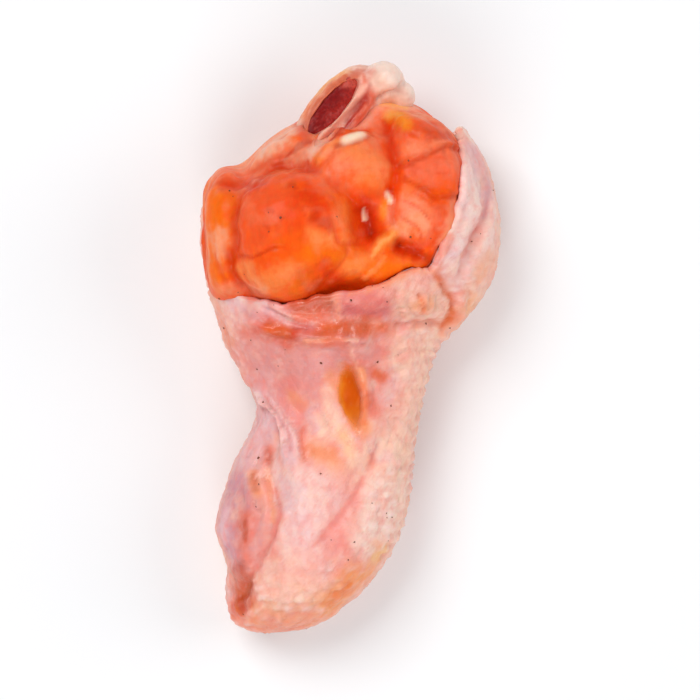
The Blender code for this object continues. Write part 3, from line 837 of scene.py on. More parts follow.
def skinRelief(points, normals, plan, up, grain):
    # the height of folds, pits and ridges, then the pits and how strong they are
    x, y = points[:, 0], points[:, 1]
    areas = {name: patch(points, *area) * up for name, area in skinPiece["tautAreas"].items()}
    areas["flap"] = smoothStep(11.0, 15.0, y) * smoothStep(14.0, 17.0, x) * up
    areas["collar"] = smoothStep(4.0, 8.0, y) * smoothStep(-14.0, -18.0, x)
    taut = sum(share * areas[name] for name, share in skinPiece["pitFade"].items())
    pitShare = np.clip((1.0 - taut) * (0.75 + 0.5 * cloud(points, 6.0, 6)), 0.0, 1.0)
    pits, rowWave = pitField(points)
    # the rows would meet at the elbow's tip, so pits are scattered there
    rowed = smoothStep(2.0, 6.0, np.linalg.norm(points - np.array(wing["elbowTip"]), axis=1))
    pits = pits * rowed + smoothStep(0.1, 0.75, cloud(points, 1.5, 23)) * (1.0 - rowed)
    height = carve(plan, up, skinPiece["strokes"], grain)
    height += skinPiece["pitHeight"] * pits * pitShare * (1.0 + 0.6 * smoothStep(-38.0, -44.0, y))
    # rows of low ridges, which serrate the right edge
    right = smoothStep(2.0, 9.0, x) * smoothStep(6.0, 1.0, y) * smoothStep(-42.0, -34.0, y)
    edge = right * smoothStep(0.75, 0.2, np.abs(normals[:, 2] - 0.05))
    broken = smoothStep(-0.25, 0.35, cloud(points, 3.2, 7, 2))
    height += (0.03 + 0.1 * broken) * (right + edge) * rowWave * rowed
    # slack wrinkles that run with the folds, and a little unevenness all over
    slack = 0.35 + 0.65 * (1.0 - areas["front"])
    height -= 0.16 * creases(points, 3.4, 9, 0.8, 2.0, 18) * (0.4 + 0.6 * up)
    height -= 0.14 * creases(points, 2.2, 19, 1.2, 0.8, -30) * slack
    height += 0.3 * cloud(points, 6.5, 10, 2) + 0.14 * cloud(points, 1.9, 11, 3) * slack
    for place, reach, fuller in skinPiece["swells"]:
        height += fuller * near(points, place, reach)
    return height, pits, pitShare


def makeSkin():
    outer = sheet("wingSkin", skinPiece["outerLevels"])
    points, normals = pointsOf(outer), normalsOf(outer)
    up = smoothStep(-0.15, 0.35, normals[:, 2])
    plan = points[:, :2] + 0.45 * astray(points, 4.0, 3, 3)
    grain = cloud(points, 2.6, 5, 4)
    height, pits, pitShare = skinRelief(points, normals, plan, up, grain)
    above = smoothStep(0.05, 1.2, points[:, 2])  # the part that the wing lies on stays flat
    moved = points + normals * (height * above)[:, None]
    moved[:, 2] = np.maximum(moved[:, 2], 0.0)
    coat, wet = paintSkin(points, plan, up, grain, pits * pitShare, (1.0 - pits) * pitShare)
    coat.darken(0.1 * np.clip(height, -1.0, 0.6))  # painted shade in the grooves and painted light on the ridges
    movePoints(outer, moved)
    coat.store(outer, wet=wet, pits=pitShare)

    # the lip of the cut edge is rolled inwards, then the inner wall is bridged to it
    inner = sheet("skinInside", skinPiece["innerLevels"])
    innerPoints = pointsOf(inner) - normalsOf(inner) * skinPiece["thickness"]
    innerPoints[:, 2] = np.maximum(innerPoints[:, 2], skinPiece["thickness"] * 0.8)
    movePoints(inner, innerPoints)
    editFaces(inner, [True] * len(inner.data.polygons), bpy.ops.mesh.flip_normals)
    dry = np.zeros(len(innerPoints))
    Coat(innerPoints, skinPiece["palette"], "lavender").store(inner, wet=dry, pits=dry)
    rollLip(outer)
    skin = joinAs("wingSkin", [outer, inner])
    selectRim(skin)
    bpy.ops.mesh.bridge_edge_loops()
    bpy.ops.object.mode_set(mode="OBJECT")
    return skin


def paintSkin(points, plan, up, grain, tops, between):
    coat = Coat(points, skinPiece["palette"], "pink")
    coat.lay("cream", smoothStep(-0.4, 0.5, cloud(points, 9.0, 12, 3)))
    coat.lay("rose", 0.45 * smoothStep(0.0, 0.6, cloud(points, 3.5, 13, 3)))
    coat.lay("lavender", 0.5 * smoothStep(0.05, 0.5, cloud(points, 5.0, 14, 3)))
    coat.lay("cream", 0.55 * (1.0 - up))
    coat.brush(plan, up, skinPiece["paint"], grain)
    wetCoat = Coat(points, {"dry": (0, 0, 0), "wet": (255, 255, 255)}, "dry")
    marks = [("wet", *mark) for name, *mark in skinPiece["paint"] if name in skinPiece["marinadeShades"]]
    wetCoat.brush(plan, up, marks, grain)
    wet = wetCoat.paint[:, 0]
    # flesh and fat that show through in small streaks, but not through marinade
    dry = 1.0 - 0.75 * wet
    coat.lay("rose", 0.3 * creases(points, 4.0, 17, 0.7, 1.8, 20) * dry)
    coat.lay("white", 0.16 * smoothStep(0.1, 0.7, cloud(points, 1.7, 18, 3)) * dry)
    coat.lay("rose", 0.22 * smoothStep(0.1, 0.7, cloud(points, 1.3, 20, 3)) * dry)
    # painted highlight on the feather pits' tops and painted shade between them, not through marinade
    coat.lay("petal", 0.6 * smoothStep(0.3, 0.95, tops) * dry)
    coat.lay("rose", 0.5 * smoothStep(0.5, 1.0, between) * dry)
    elbow = smoothStep(-36.0, -44.0, points[:, 1] + 0.25 * np.abs(points[:, 0] + 8.0))
    coat.lay("orange", 0.22 * elbow * smoothStep(0.3, 0.95, between))
    coat.lay("golden", 0.22 * elbow * smoothStep(0.0, 0.5, cloud(points, 2.6, 22, 3)))
    # marinade lies thinly in patches beneath and on the sides too
    film = smoothStep(0.1, 0.75, cloud(points, 7.0, 21, 4)) * (1.0 - 0.75 * up)
    coat.lay("peach", 0.6 * film)
    return coat, np.clip(wet + 0.6 * film, 0.0, 1.0)


def rollLip(obj):
    selectRim(obj)
    bpy.ops.object.mode_set(mode="OBJECT")
    mesh = obj.data
    rim = np.array([vert.index for vert in mesh.vertices if vert.select])
    points, normals = pointsOf(obj), normalsOf(obj)
    # each rim point's way out of the sheet leads away from the middles of its faces
    corners = np.array([face.vertices[:] for face in mesh.polygons])
    inward = np.zeros_like(points)
    middles = points[corners].mean(1)
    for corner in corners.T:
        np.add.at(inward, corner, middles - points[corner])
    outward = -inward[rim]
    outward -= (outward * normals[rim]).sum(1)[:, None] * normals[rim]
    outward /= np.linalg.norm(outward, axis=1)[:, None]
    down = -normals[rim]
    home = points[rim]
    thick = skinPiece["thickness"] * (1.0 + 0.25 * cloud(home, 4.0, 15, 2))[:, None]
    ragged = (0.16 * cloud(home, 2.2, 16, 2) + 0.35 * cloud(home, 5.5, 24, 2))[:, None]
    lastRing = home
    for out, deep in skinPiece["lipRings"]:
        bpy.ops.object.mode_set(mode="EDIT")
        bpy.ops.mesh.extrude_region_move()
        bpy.ops.object.mode_set(mode="OBJECT")
        fresh = np.array([vert.index for vert in mesh.vertices if vert.select])
        points = pointsOf(obj)
        lookUp = {tuple(np.round(place, 3)): number for number, place in enumerate(lastRing)}
        order = [lookUp[tuple(np.round(points[index], 3))] for index in fresh]
        ring = home + outward * thick * (out + ragged) + down * thick * deep
        points[fresh] = ring[order]
        movePoints(obj, points)
        lastRing = pointsOf(obj)[fresh][np.argsort(order)]


def skinFinish():
    finish = Finish("skinFinish")
    paint = finish.attribute("Paint", "Color")
    wet = finish.attribute("Wet")
    pits = finish.attribute("Pits")
    fine = finish.clouds(0.9, 3.0)
    veins = finish.cells(1.9, "DISTANCE_TO_EDGE")
    mottle = 0.4 * finish.ramp(fine, (0.35, 0.0), (0.7, 1.0))
    shade = finish.blend(mottle, paint, colour(*skinPiece["mottleTint"]), "SOFT_LIGHT")
    seams = (0.03 + 0.08 * pits) * finish.ramp(veins, (0.0, 1.0), (0.12, 0.0))
    shade = finish.blend(seams, shade, colour(*skinPiece["seamTint"]))
    grain = finish.clouds(0.35, 3.0) + finish.clouds(1.0, 3.0) * 1.4
    finish.set(colour=shade, roughness=0.44 - 0.16 * wet + 0.14 * fine, coat=0.18 + 0.2 * wet,
               normal=finish.bump(grain, 0.09), coatRoughness=0.16, glow=0.28, glowRadius=(1.0, 0.36, 0.22),
               glowScale=1.5 * mm, gloss=0.45, ior=1.42)
    return finish


# Meat

meatPiece = {
    "voxel": 0.45,
    "smoothing": 60,  # rounds that melt the lobes together
    "lobePower": 2.3,
    "mottleTint": (250, 130, 80),
    "skinRoom": 0.25,
    "boneGrip": 0.4,  # how far it lies into the bone
    "trough": ((-2, 39, 27.4), (6.3, 2.1, 5.2), 49),  # beside the marrow, where the bone lies bare
    "shelf": ((-3.4, 35.85, 20.9), (3.8, 0.9, 2.7), 47),  # torn meat that closes its lower end
    "insideSkin": 2.15,
    # centre, half sizes, turn seen from above
    "lobes": (
        ((-8.8, 19.4, 22), (11.7, 11.4, 12.2), 12, 2.6),  # biceps
        ((-20.4, 20.5, 16), (4.7, 11, 11.5), 4),  # left strap
        ((-22, 22.6, 12.6), (3.2, 7.6, 4.2), 8),
        ((-21.6, 14.4, 8.6), (3.4, 6.4, 4), -4),
        ((0.6, 29.8, 20.2), (9.6, 7.6, 10.6), -18),  # upper middle
        ((12, 34.4, 17.8), (7.4, 5.6, 10.8), -28),  # right top
        ((13.4, 30, 17.8), (6.8, 4.8, 11), -6, 3),  # right middle
        ((12.8, 22.4, 17.6), (6.2, 6.4, 11.8), 14, 3.6),  # right lower slab
        ((5.6, 14.2, 20.5), (8.4, 5, 9), 16),  # lower band
        ((-11.5, 33, 15), (8.8, 3.6, 9.6), 38),  # shoulder slip
        ((-11.6, 34.3, 13.6), (6.2, 2, 8.4), 42),  # sinew from the bone down to it
        ((15.6, 21.5, 16), (5.6, 9.4, 12), 8),  # up against the flap
        ((-19.4, 14.2, 15.2), (5.6, 7.2, 11.8), 0),  # up against the collar
        ((-3, 12, 16), (15.4, 5.6, 12), 6),
        ((10.4, 15.2, 16.4), (8, 5, 12), 20),
        ((0.6, 35.5, 25), (2.2, 0.95, 1.9), 20),  # tendon end
        ((-12, 13.2, 24), (5.6, 4.2, 7.6), 8),  # lower part of the biceps
        ((-0.6, 14.8, 22.6), (5.4, 5.2, 8.4), -20),  # lobe by the cavity
        ((-4.4, 18.6, 27.4), (3.4, 3, 5.4), 10),
        ((9.6, 27, 17.6), (8.4, 12.4, 11), -6),  # what fills the right side under its slabs
        ((-1, 21.6, 17), (19, 12.6, 11.4), 0),
    ),
    "strokes": (
        ("groove", 0.6, 0.9, -19.1, 26.5, -19.8, 21.6, -19.3, 18.5, -20.4, 14.9, -19, 11.2, -16.6, 8.8),
        ("groove", 0.6, 0.5, -20, 16, -20.2, 13.4, -18.8, 10.8, -16.6, 8.8),
        ("groove", 0.5, 0.45, -19.4, 15.2, -16, 15.4, -12.6, 16.8, -10.4, 17),
        ("groove", 0.8, 0.7, -22.6, 27.9, -18.8, 27.6, -15.6, 27.9, -13.5, 30.5, -9.3, 31.1, -6.8, 30.4,
         -4.6, 28.8),
        ("groove", 0.6, 0.9, -4.6, 28.8, -1, 26, 1.6, 24.4, 3.6, 24),
        ("groove", 2.1, 1.5, 2.8, 24.4, 3.2, 21.6, 4.2, 18.6),  # dark cavity
        ("groove", 0.6, 0.5, 3.4, 18.6, 1, 17.6, -1.6, 18, -2.4, 21.6),
        ("groove", 0.8, 0.65, 5.9, 39.4, 6.5, 35.6, 7.2, 32.5, 7.9, 29.7, 7.5, 27.6, 5.4, 25),
        ("step", 0.8, 0.8, 7.9, 29.7, 11.1, 31.4, 13.9, 33.2, 16.7, 34.2, 20.5, 33.9),
        ("step", 0.7, 0.8, 8.8, 28.8, 11.8, 27.2, 13.9, 25.7, 16.3, 25.9, 18.8, 25.5),
        ("groove", 1.6, 1, 7.6, 18.4, 9.3, 17, 12.4, 15.6),  # gap under the slab
        ("groove", 0.8, 0.8, 7.8, 17.8, 9, 17.2),
        ("groove", 1, 0.6, 7.5, 27.6, 7.2, 24.1, 7.5, 20.6),
        ("ridge", 0.3, 0.5, 5.8, 24.6, 5.4, 22.4, 6.4, 20.4),  # fat strand
        ("ridge", 0.8, 0.7, 7.4, 19.6, 6.5, 18.5, 5.6, 18.1, 4.9, 16.8, 3.8, 15.7, 2.2, 14.6),
        ("groove", 0.4, 0.4, 6.6, 17.3, 5.8, 16.2, 4.4, 14.9),
        ("ridge", 0.6, 0.4, 5.9, 15.6, 4.3, 13.4, 2.5, 11.7),
        ("ridge", 0.6, 0.5, 6.5, 26.4, 6.8, 24.8),
        ("groove", 0.5, 0.5, 0.2, 17, -1.2, 14.4, -3.4, 12, -5.6, 9.4),
        ("groove", 0.5, 0.5, -23.4, 17, -22.4, 13.6, -20.8, 11),
        ("groove", 0.6, 0.5, -8.4, 32.6, -12.4, 32.4, -16.4, 30.4, -20, 29.4),
        ("groove", 0.45, 0.4, 9.6, 36.6, 13, 35.6, 16.6, 36.4),
        ("groove", 0.35, 0.35, 10.6, 30.2, 14, 30, 17.6, 29.4),
        ("groove", 0.35, 0.35, 9.4, 24.8, 12.6, 22.6, 14.4, 19.4),
        ("groove", 0.25, 0.3, 8.6, 22.6, 11, 20.6, 12.6, 17.8),
        ("groove", 0.25, 0.3, 10.6, 26.4, 14, 24.2, 16, 20.6),
        ("groove", 0.2, 0.3, 9, 34.4, 12.4, 34.8, 16, 35.2),
        ("groove", 0.25, 0.3, 11.4, 31.6, 14.6, 32.2, 18.4, 31.8),
        ("groove", 0.25, 0.4, -1.6, 31, 1.6, 33.4, 4.8, 33),
        ("groove", 0.2, 0.3, 0.4, 28.6, 3.2, 30.4, 6, 30),
        ("ridge", 0.5, 0.9, -17, 9.6, -13, 8.9, -9, 8.9, -5, 9.8),  # pressed on the skin's lip
        ("ridge", 0.4, 1, 7.4, 39.2, 9, 39.4),  # yellow fat by the knob
        ("ridge", 0.5, 0.7, -1.3, 34.9, 0.6, 35.5, 2.5, 36.2),  # white end of a tendon
        ("groove", 0.5, 0.4, -10.6, 32.4, -9, 33.6, -8, 34.8, -6.4, 35.4),  # torn fibres by the bone
        ("ridge", 0.45, 0.4, -10.8, 32, -8.8, 33, -6.8, 33.4),
        ("ridge", 0.4, 0.35, -9.6, 31.4, -7.4, 32.2, -5.4, 32.2),
        ("ridge", 0.35, 0.5, -6.2, 31.2, -4.6, 33, -3, 35),
        ("groove", 0.3, 0.4, -5, 30.6, -3.4, 32.6, -2, 34.6),
        ("groove", 0.5, 0.4, -10.8, 30.6, -8.4, 31.2, -6.2, 30.4),
    ),
    # on the left side the points are along the wing and up
    "flankStrokes": (
        ("groove", 0.8, 0.7, 9.5, 19.6, 14, 17.6, 20, 17, 26, 14.6, 31, 14),
        ("groove", 0.6, 0.6, 10.4, 12, 14, 10.6, 20, 9.4, 25, 7),
        ("groove", 0.35, 0.4, 12, 15.6, 18, 14, 24, 12, 29, 10.4),
        ("ridge", 0.4, 1.2, 11, 14.4, 17, 12.6, 24, 10.4),
        ("ridge", 0.6, 0.7, 11.4, 6.8, 14, 6.4, 16.5, 6.9),
        ("ridge", 0.6, 0.7, 17.5, 6.8, 20.5, 6.9),
        ("ridge", 0.5, 0.7, 21.6, 7, 25, 7.6, 28, 9),
        ("groove", 0.35, 0.4, 15, 22.6, 19, 20.6, 24, 20.8),
    ),
    "palette": {
        "orange": (244, 88, 16), "deepOrange": (220, 58, 4), "redOrange": (232, 68, 18),
        "pinkRed": (240, 92, 46), "peach": (255, 138, 72), "amber": (250, 116, 14),
        "darkRed": (166, 30, 0), "hollow": (112, 14, 0), "cream": (255, 184, 112),
        "yellow": (252, 150, 30), "white": (255, 226, 196), "pink": (248, 148, 112),
        "brick": (218, 80, 50), "coral": (242, 112, 78), "film": (252, 166, 128),
        "pale": (246, 184, 160), "rust": (196, 56, 0),
    },
    "paint": (
        ("redOrange", 0.6, 5, -12, 23, -6, 24),
        ("pinkRed", 0.7, 3.4, -15.5, 18.6, -14.6, 23, -12.6, 27),
        ("amber", 0.75, 3, -9, 15.6, -3, 15.3, 1, 14),
        ("orange", 0.8, 1.5, -14, 14.6, -11, 16.2, -7.6, 18.6),
        # painted highlights on the lower lobe of the biceps
        ("peach", 0.85, 1.4, -18.2, 13.8, -17, 12.4),
        ("peach", 0.8, 1.7, -15, 11, -12, 11.6, -9.8, 13.2),
        ("amber", 0.7, 1.4, -9, 10.2, -7.4, 11.6),
        ("peach", 0.85, 1.6, -5.8, 18.6, -3.2, 18.7),
        ("peach", 0.8, 1.4, -0.4, 13.8, 1.2, 13.6),
        ("deepOrange", 0.8, 2, -6.8, 25.4, -5, 23.6, -3.6, 21.8),
        ("rust", 0.6, 0.9, -6.2, 22, -5.2, 21.2, -3.6, 21.4),
        ("rust", 0.6, 0.6, -9.8, 27.2, -9.1, 27.2),
        ("rust", 0.5, 0.5, -13.7, 20.2, -13.3, 19.6),
        ("rust", 0.5, 0.5, -13.4, 23.2, -12.9, 23),
        ("rust", 0.5, 0.5, -11.8, 22.2, -11.2, 21.8),
        ("deepOrange", 0.8, 1.6, -4.6, 13.4, -2.8, 12.2),
        # painted shade under the biceps, where it overhangs the skin's lip
        ("rust", 0.7, 1.5, -6.1, 9.4, -3.7, 10.7, -1, 10.8, 1.6, 11),
        ("darkRed", 0.25, 0.8, -5, 9.6, -2.6, 10.4, 0.6, 10.6),
        ("rust", 0.4, 0.9, -9.3, 8.4, -4.7, 9, 0.5, 10, 6.1, 11.2),
        ("film", 0.6, 1.1, -21.6, 10.4, -18.6, 10, -15, 9.8),
        ("amber", 0.8, 2.8, -23, 13, -23.2, 20, -22, 26),
        # painted highlight on the left strap
        ("film", 0.75, 1.2, -22.2, 19.4, -22, 16.2),
        ("film", 0.5, 2.4, -21.4, 29.4, -15, 31.6, -10.4, 33.6),
        ("film", 0.9, 1.6, -18.4, 31.6, -14, 34.6, -9.4, 38.4),
        ("pale", 0.8, 1.5, -15.2, 34, -12, 36.4, -9.4, 38.4),
        # painted shade in the grooves round the biceps
        ("rust", 0.55, 0.9, -21.6, 28.1, -18.8, 27.7, -16, 27.7, -13.5, 30.3, -11.6, 31.6),
        ("deepOrange", 0.6, 1.6, -21, 28, -16.4, 27.8),
        ("rust", 0.7, 0.7, -19.1, 23.5, -19.8, 21, -19.5, 18, -20.3, 14.9, -19, 11.6, -16.4, 9.6, -12, 8.3),
        ("rust", 0.7, 0.4, -19.1, 15.4, -16, 15.4, -12.6, 16.8),
        ("rust", 0.8, 0.45, -12.5, 31, -9.3, 31.1, -6.8, 30.4, -5.1, 29.3),
        ("pink", 0.85, 0.9, -10.4, 32.3, -8.2, 32.8, -6.2, 32.6),
        ("peach", 0.7, 0.8, -5.8, 31.6, -4.6, 33.8),
        ("darkRed", 0.75, 0.4, -10.8, 32.2, -9, 33.6, -8, 34.8, -6.4, 35.4),
        ("pink", 0.5, 3.2, -1, 32, 3.4, 31.6),
        ("peach", 0.5, 2.4, 0.6, 32.6, 4.4, 31, 3.6, 28.4),
        ("pink", 0.55, 2.4, 10.8, 33.4, 14.6, 34.6),
        ("brick", 0.6, 1.8, 8.6, 36.6, 12.2, 37.2, 15.4, 37.4),
        ("coral", 0.9, 2.4, 11.6, 29.8, 16.6, 30.8),
        ("coral", 0.7, 1.8, 15, 32, 18.4, 32.2),
        ("pink", 0.65, 2.4, 9.8, 24, 13.6, 21.4),
        ("film", 0.7, 1.5, 9, 20.2, 10.6, 21.6, 12.4, 20.2),
        ("redOrange", 0.6, 1.6, 15, 22, 14.8, 18.4),
        ("film", 0.6, 1, 15.6, 17.6, 16.8, 20.8, 17.6, 24.8),
        ("film", 0.6, 0.9, 6.6, 23.4, 7.4, 20.8),
        ("pink", 0.5, 1.4, 3.4, 39.4, 4.6, 38.2, 5.2, 36.2),
        ("peach", 0.45, 1.6, -1.6, 22.8, -0.6, 19.8),
        ("pink", 0.35, 1.8, -4.4, 28.2, -2, 27.2),
        ("coral", 0.75, 1, 6.8, 35.6, 7.3, 33),
        ("coral", 0.5, 1, -8, 29.4, -5.8, 29.6),
        ("brick", 0.4, 1.2, 10.2, 30.2, 12.2, 29.6),
        ("peach", 0.35, 0.9, 5.2, 23.2, 5.2, 21.2),
        ("rust", 0.35, 1.4, -7.8, 12.4, -6.2, 11.6),
        ("orange", 0.45, 1.4, -20.6, 29.8, -17.6, 30.2),
        ("amber", 0.8, 1.5, 5, 13, 9, 14, 12.4, 14.4),
        ("redOrange", 0.7, 0.9, 11.1, 15, 13.9, 14, 15, 14.2),
        # painted shade in the gap under the slab
        ("rust", 0.9, 1.3, 7.8, 17.9, 9, 17, 10.6, 16.2),
        ("rust", 0.9, 0.9, 10, 16.6, 12.4, 15.7, 14.8, 14.8),
        ("darkRed", 0.6, 0.6, 7.9, 18.2, 8.6, 17, 11, 16.2),
        # painted shade in and around the cavity
        ("deepOrange", 0.8, 2.2, 2.6, 24.2, 3.2, 21.3, 4.2, 18.4),
        ("darkRed", 0.7, 1.2, 2.9, 23.6, 3.2, 21.3, 3.9, 19.2),
        ("hollow", 0.6, 0.6, 3.2, 22.4, 3.5, 20.8, 3.9, 19.6),
        # painted shade in the grooves and along the slabs' edges on the right
        ("deepOrange", 0.8, 0.6, 6.1, 38.8, 6.5, 35.6, 7.2, 32.5, 7.9, 29.7, 7.5, 27.6, 6.1, 25.6),
        ("deepOrange", 0.3, 1.1, 5.4, 36, 6.2, 33),
        ("rust", 0.6, 0.6, 8.6, 30.6, 11.4, 31.7, 13.9, 33.2, 16.7, 34.2, 20, 33.9),
        ("rust", 0.6, 0.6, 9.4, 28.4, 11.8, 27.2, 13.9, 25.7, 16.3, 25.9, 18.6, 25.5),
        ("rust", 0.5, 0.8, 7.2, 35.4, 7.9, 32.4, 8.2, 29.6),
        ("rust", 0.5, 0.7, 13, 36.6, 16, 36, 18.4, 35.2),
        ("deepOrange", 0.45, 0.3, 8.6, 22.6, 11, 20.6, 12.6, 17.8),
        ("deepOrange", 0.45, 0.3, 9.4, 24.8, 12.6, 22.6, 14.4, 19.4),
        ("deepOrange", 0.4, 0.3, 10.6, 26.4, 14, 24.2, 16, 20.6),
        ("rust", 0.3, 0.6, 13.6, 26.2, 15.2, 24.6, 15.8, 22.8),
        ("yellow", 0.5, 0.7, 6, 25, 5.4, 22.4),
        ("peach", 0.6, 1, 7.4, 19.6, 6.5, 18.5, 5.6, 18.1, 4.9, 16.8, 3.8, 15.7, 2.2, 14.6),
        ("yellow", 0.4, 0.7, 7.2, 19.4, 5.6, 18.1, 4.4, 16.4),
        ("cream", 0.5, 0.35, 7.2, 19.5, 6.3, 18.5, 5.4, 18.1, 4.7, 16.8, 3.6, 15.7),
        ("peach", 0.8, 0.4, 5.7, 15.4, 4.3, 13.4, 2.5, 11.7),
        ("yellow", 0.75, 1.2, 7.4, 39.6, 8.9, 39.2, 9.2, 38),
        ("cream", 0.5, 0.9, 6.4, 40.4, 7.8, 39.9),
        ("pink", 0.8, 1.3, -9.4, 32.2, -6.6, 33.6, -4.2, 34.6),
        ("pale", 0.8, 0.9, -4.6, 35.6, -6, 34, -6.8, 32.8),
        ("peach", 0.7, 0.8, -5.4, 32, -3.6, 33.8, -2, 34.6),
        ("rust", 0.5, 0.3, -7.4, 35, -8.4, 33.6, -10.2, 32.8),
        ("rust", 0.45, 0.3, -3.8, 34.6, -5, 32.8, -6, 31.4),
        ("pink", 0.7, 0.4, -3, 35.2, -6, 33.2, -9, 32),
        ("pink", 0.6, 0.35, -1.4, 34.4, -4.8, 32.6),
    ),
    # small things with a clean edge
    "details": (
        # painted shadow under the tendon's white end
        ("darkRed", 0.5, 0.4, -2.4, 34.2, 0.6, 34.6, 2.9, 35.6),
        ("darkRed", 0.7, 0.4, -1, 37.8, -2.2, 36.4, -3.2, 35.4),
        ("pale", 0.9, 0.7, -3.8, 36.6, -5, 35.4, -6.4, 33.4),
        ("white", 0.97, 0.72, -0.8, 35, 0.6, 35.5, 2, 36),
        ("brick", 0.7, 1, -9, 38.8, -8.4, 37.8, -7.4, 36.2),
        ("cream", 0.85, 0.7, 5.6, 42.1, 7.6, 41.9, 9.4, 41.7),
        # a pale fat bit with a painted glint, then a painted glint in the cavity
        ("white", 0.9, 0.5, 6.4, 26.1, 6.8, 25),
        ("white", 0.9, 0.27, 2.7, 21.8, 2.6, 23.4),
    ),
    # points along the wing and up too
    "flankPaint": (
        ("film", 0.75, 2.4, 11, 8.4, 18, 7.6, 27, 9),
        ("cream", 0.85, 0.9, 11.4, 6.8, 14, 6.4, 16.5, 6.9),
        ("white", 0.7, 0.7, 17.5, 6.8, 20.5, 6.9),
        ("cream", 0.8, 0.8, 21.6, 7, 25, 7.6, 28, 9),
        ("deepOrange", 0.75, 0.5, 9.5, 18.4, 14, 17, 20, 17.6, 26, 16),
        ("film", 0.7, 1.5, 12, 20.4, 17, 21.6, 23, 21),
        ("redOrange", 0.6, 2, 10.5, 13.6, 16, 13, 22, 13.8),
        ("deepOrange", 0.6, 0.5, 13, 10.6, 18, 11.4, 25, 11),
    ),
}


def blobs(name, lobes, ringCount=24, usualPower=2.0):
    # rounded lobes: a power above 2, for all or as a lobe's fourth value, makes them a little boxy
    made = []
    for centre, half, turn, *own in lobes:
        power = own[0] if own else usualPower
        selectOnly()
        bpy.ops.mesh.primitive_uv_sphere_add(segments=2 * ringCount, ring_count=ringCount, radius=mm)
        lobe = bpy.context.object
        ball = pointsOf(lobe)
        movePoints(lobe, ball / (np.abs(ball) ** power).sum(1)[:, None] ** (1.0 / power))
        lobe.location = Vector(centre) * mm
        lobe.rotation_euler.z = math.radians(turn)
        lobe.scale = half
        settle(lobe)
        made.append(lobe)
    return joinAs(name, made)


def keepLargest(obj):
    # drops the loose scraps that a cut leaves
    selectOnly(obj)
    bpy.ops.object.mode_set(mode="EDIT")
    bpy.ops.mesh.separate(type="LOOSE")
    bpy.ops.object.mode_set(mode="OBJECT")
    parts = sorted(bpy.context.selected_objects, key=lambda part: len(part.data.vertices))
    name = obj.name
    remove(*parts[:-1])
    parts[-1].name = name
    return parts[-1]


def meatShape(bone):
    core, grid = wingCage("core", wing["cutSink"])
    covered = [number for number, (ring, column) in enumerate(grid) if not inCut(ring, column)]
    core.vertex_groups.new(name="covered").add(covered, 1.0, "REPLACE")
    modify(core, "SUBSURF", levels=3, render_levels=3)
    foldSurface(core, wing["folds"])
    modify(core, "DISPLACE", strength=-meatPiece["insideSkin"] * mm, mid_level=0.0, vertex_group="covered")
    lobes = blobs("lobes", meatPiece["lobes"], 56, meatPiece["lobePower"])
    meat = joinAs("wingMeat", [core, lobes])
    modify(meat, "REMESH", mode="VOXEL", voxel_size=meatPiece["voxel"] * mm)
    modify(meat, "SMOOTH", factor=0.5, iterations=meatPiece["smoothing"])
    room = meatPiece["skinRoom"]
    skinCutter = sheet("skinCutter", 3)
    modify(skinCutter, "DISPLACE", strength=room * mm, mid_level=0.0)
    modify(skinCutter, "SOLIDIFY", thickness=(skinPiece["thickness"] + 2 * room) * mm, offset=-1.0)
    boneCutter = copyOf(bone, "boneCutter")
    modify(boneCutter, "DISPLACE", strength=-meatPiece["boneGrip"] * mm, mid_level=0.0)
    steps = (
        (skinCutter, "DIFFERENCE"),
        (blobs("troughCutter", [meatPiece["trough"]], 32), "DIFFERENCE"),
        (blobs("shelf", [meatPiece["shelf"]], 48), "UNION"),
        (boneCutter, "DIFFERENCE"),
    )
    for tool, operation in steps:
        modify(meat, "BOOLEAN", operation=operation, object=tool, solver="MANIFOLD")
        remove(tool)
    return keepLargest(meat)


def meatRelief(points, normals):
    # the height of lobes, grooves and fibres, and the fields that the paint needs too
    x, y, z = points.T
    field = SimpleNamespace()
    field.up = smoothStep(0.0, 0.4, normals[:, 2])
    field.wander = 0.45 * astray(points, 4.0, 41, 2)
    field.plan = points[:, :2] + field.wander
    field.grain = cloud(points, 1.2, 43, 3)
    field.fibres = cloud(np.column_stack([x * 2.6 + y * 0.6, y * 0.7, z]), 2.2, 44, 3)
    # the sides are bundles of fibres under a thin film
    field.side = smoothStep(0.75, 0.3, normals[:, 2]) * smoothStep(9.0, 12.0, y)
    field.around = np.column_stack([np.arctan2(x, z - 14.0) * 11.0, y * 0.22, z * 0.3])
    bundles = cloud(field.around, 3.4, 49, 3)
    field.seams = np.exp(-((bundles / 0.16) ** 2))
    field.threads = cloud(field.around * (1.0, 0.4, 2.0), 1.1, 53, 3)
    # the left side is seen from the left, so its lines run along and up
    field.flank = field.side * smoothStep(-10.0, -15.0, x)
    field.fromLeft = points[:, 1:] + 0.5 * field.wander
    bare = smoothStep(9.0, 12.0, y + 0.15 * x) * field.up
    uneven = 0.08 * field.fibres + 0.25 * cloud(points, 4.5, 45, 2) + 0.06 * cloud(points, 1.2, 48, 2)
    field.height = carve(field.plan, field.up, meatPiece["strokes"], field.grain) + uneven * bare
    field.height += (0.5 * bundles - 0.3 * field.seams + 0.16 * field.threads) * field.side
    field.height += carve(field.fromLeft, field.flank, meatPiece["flankStrokes"], field.grain)
    return field


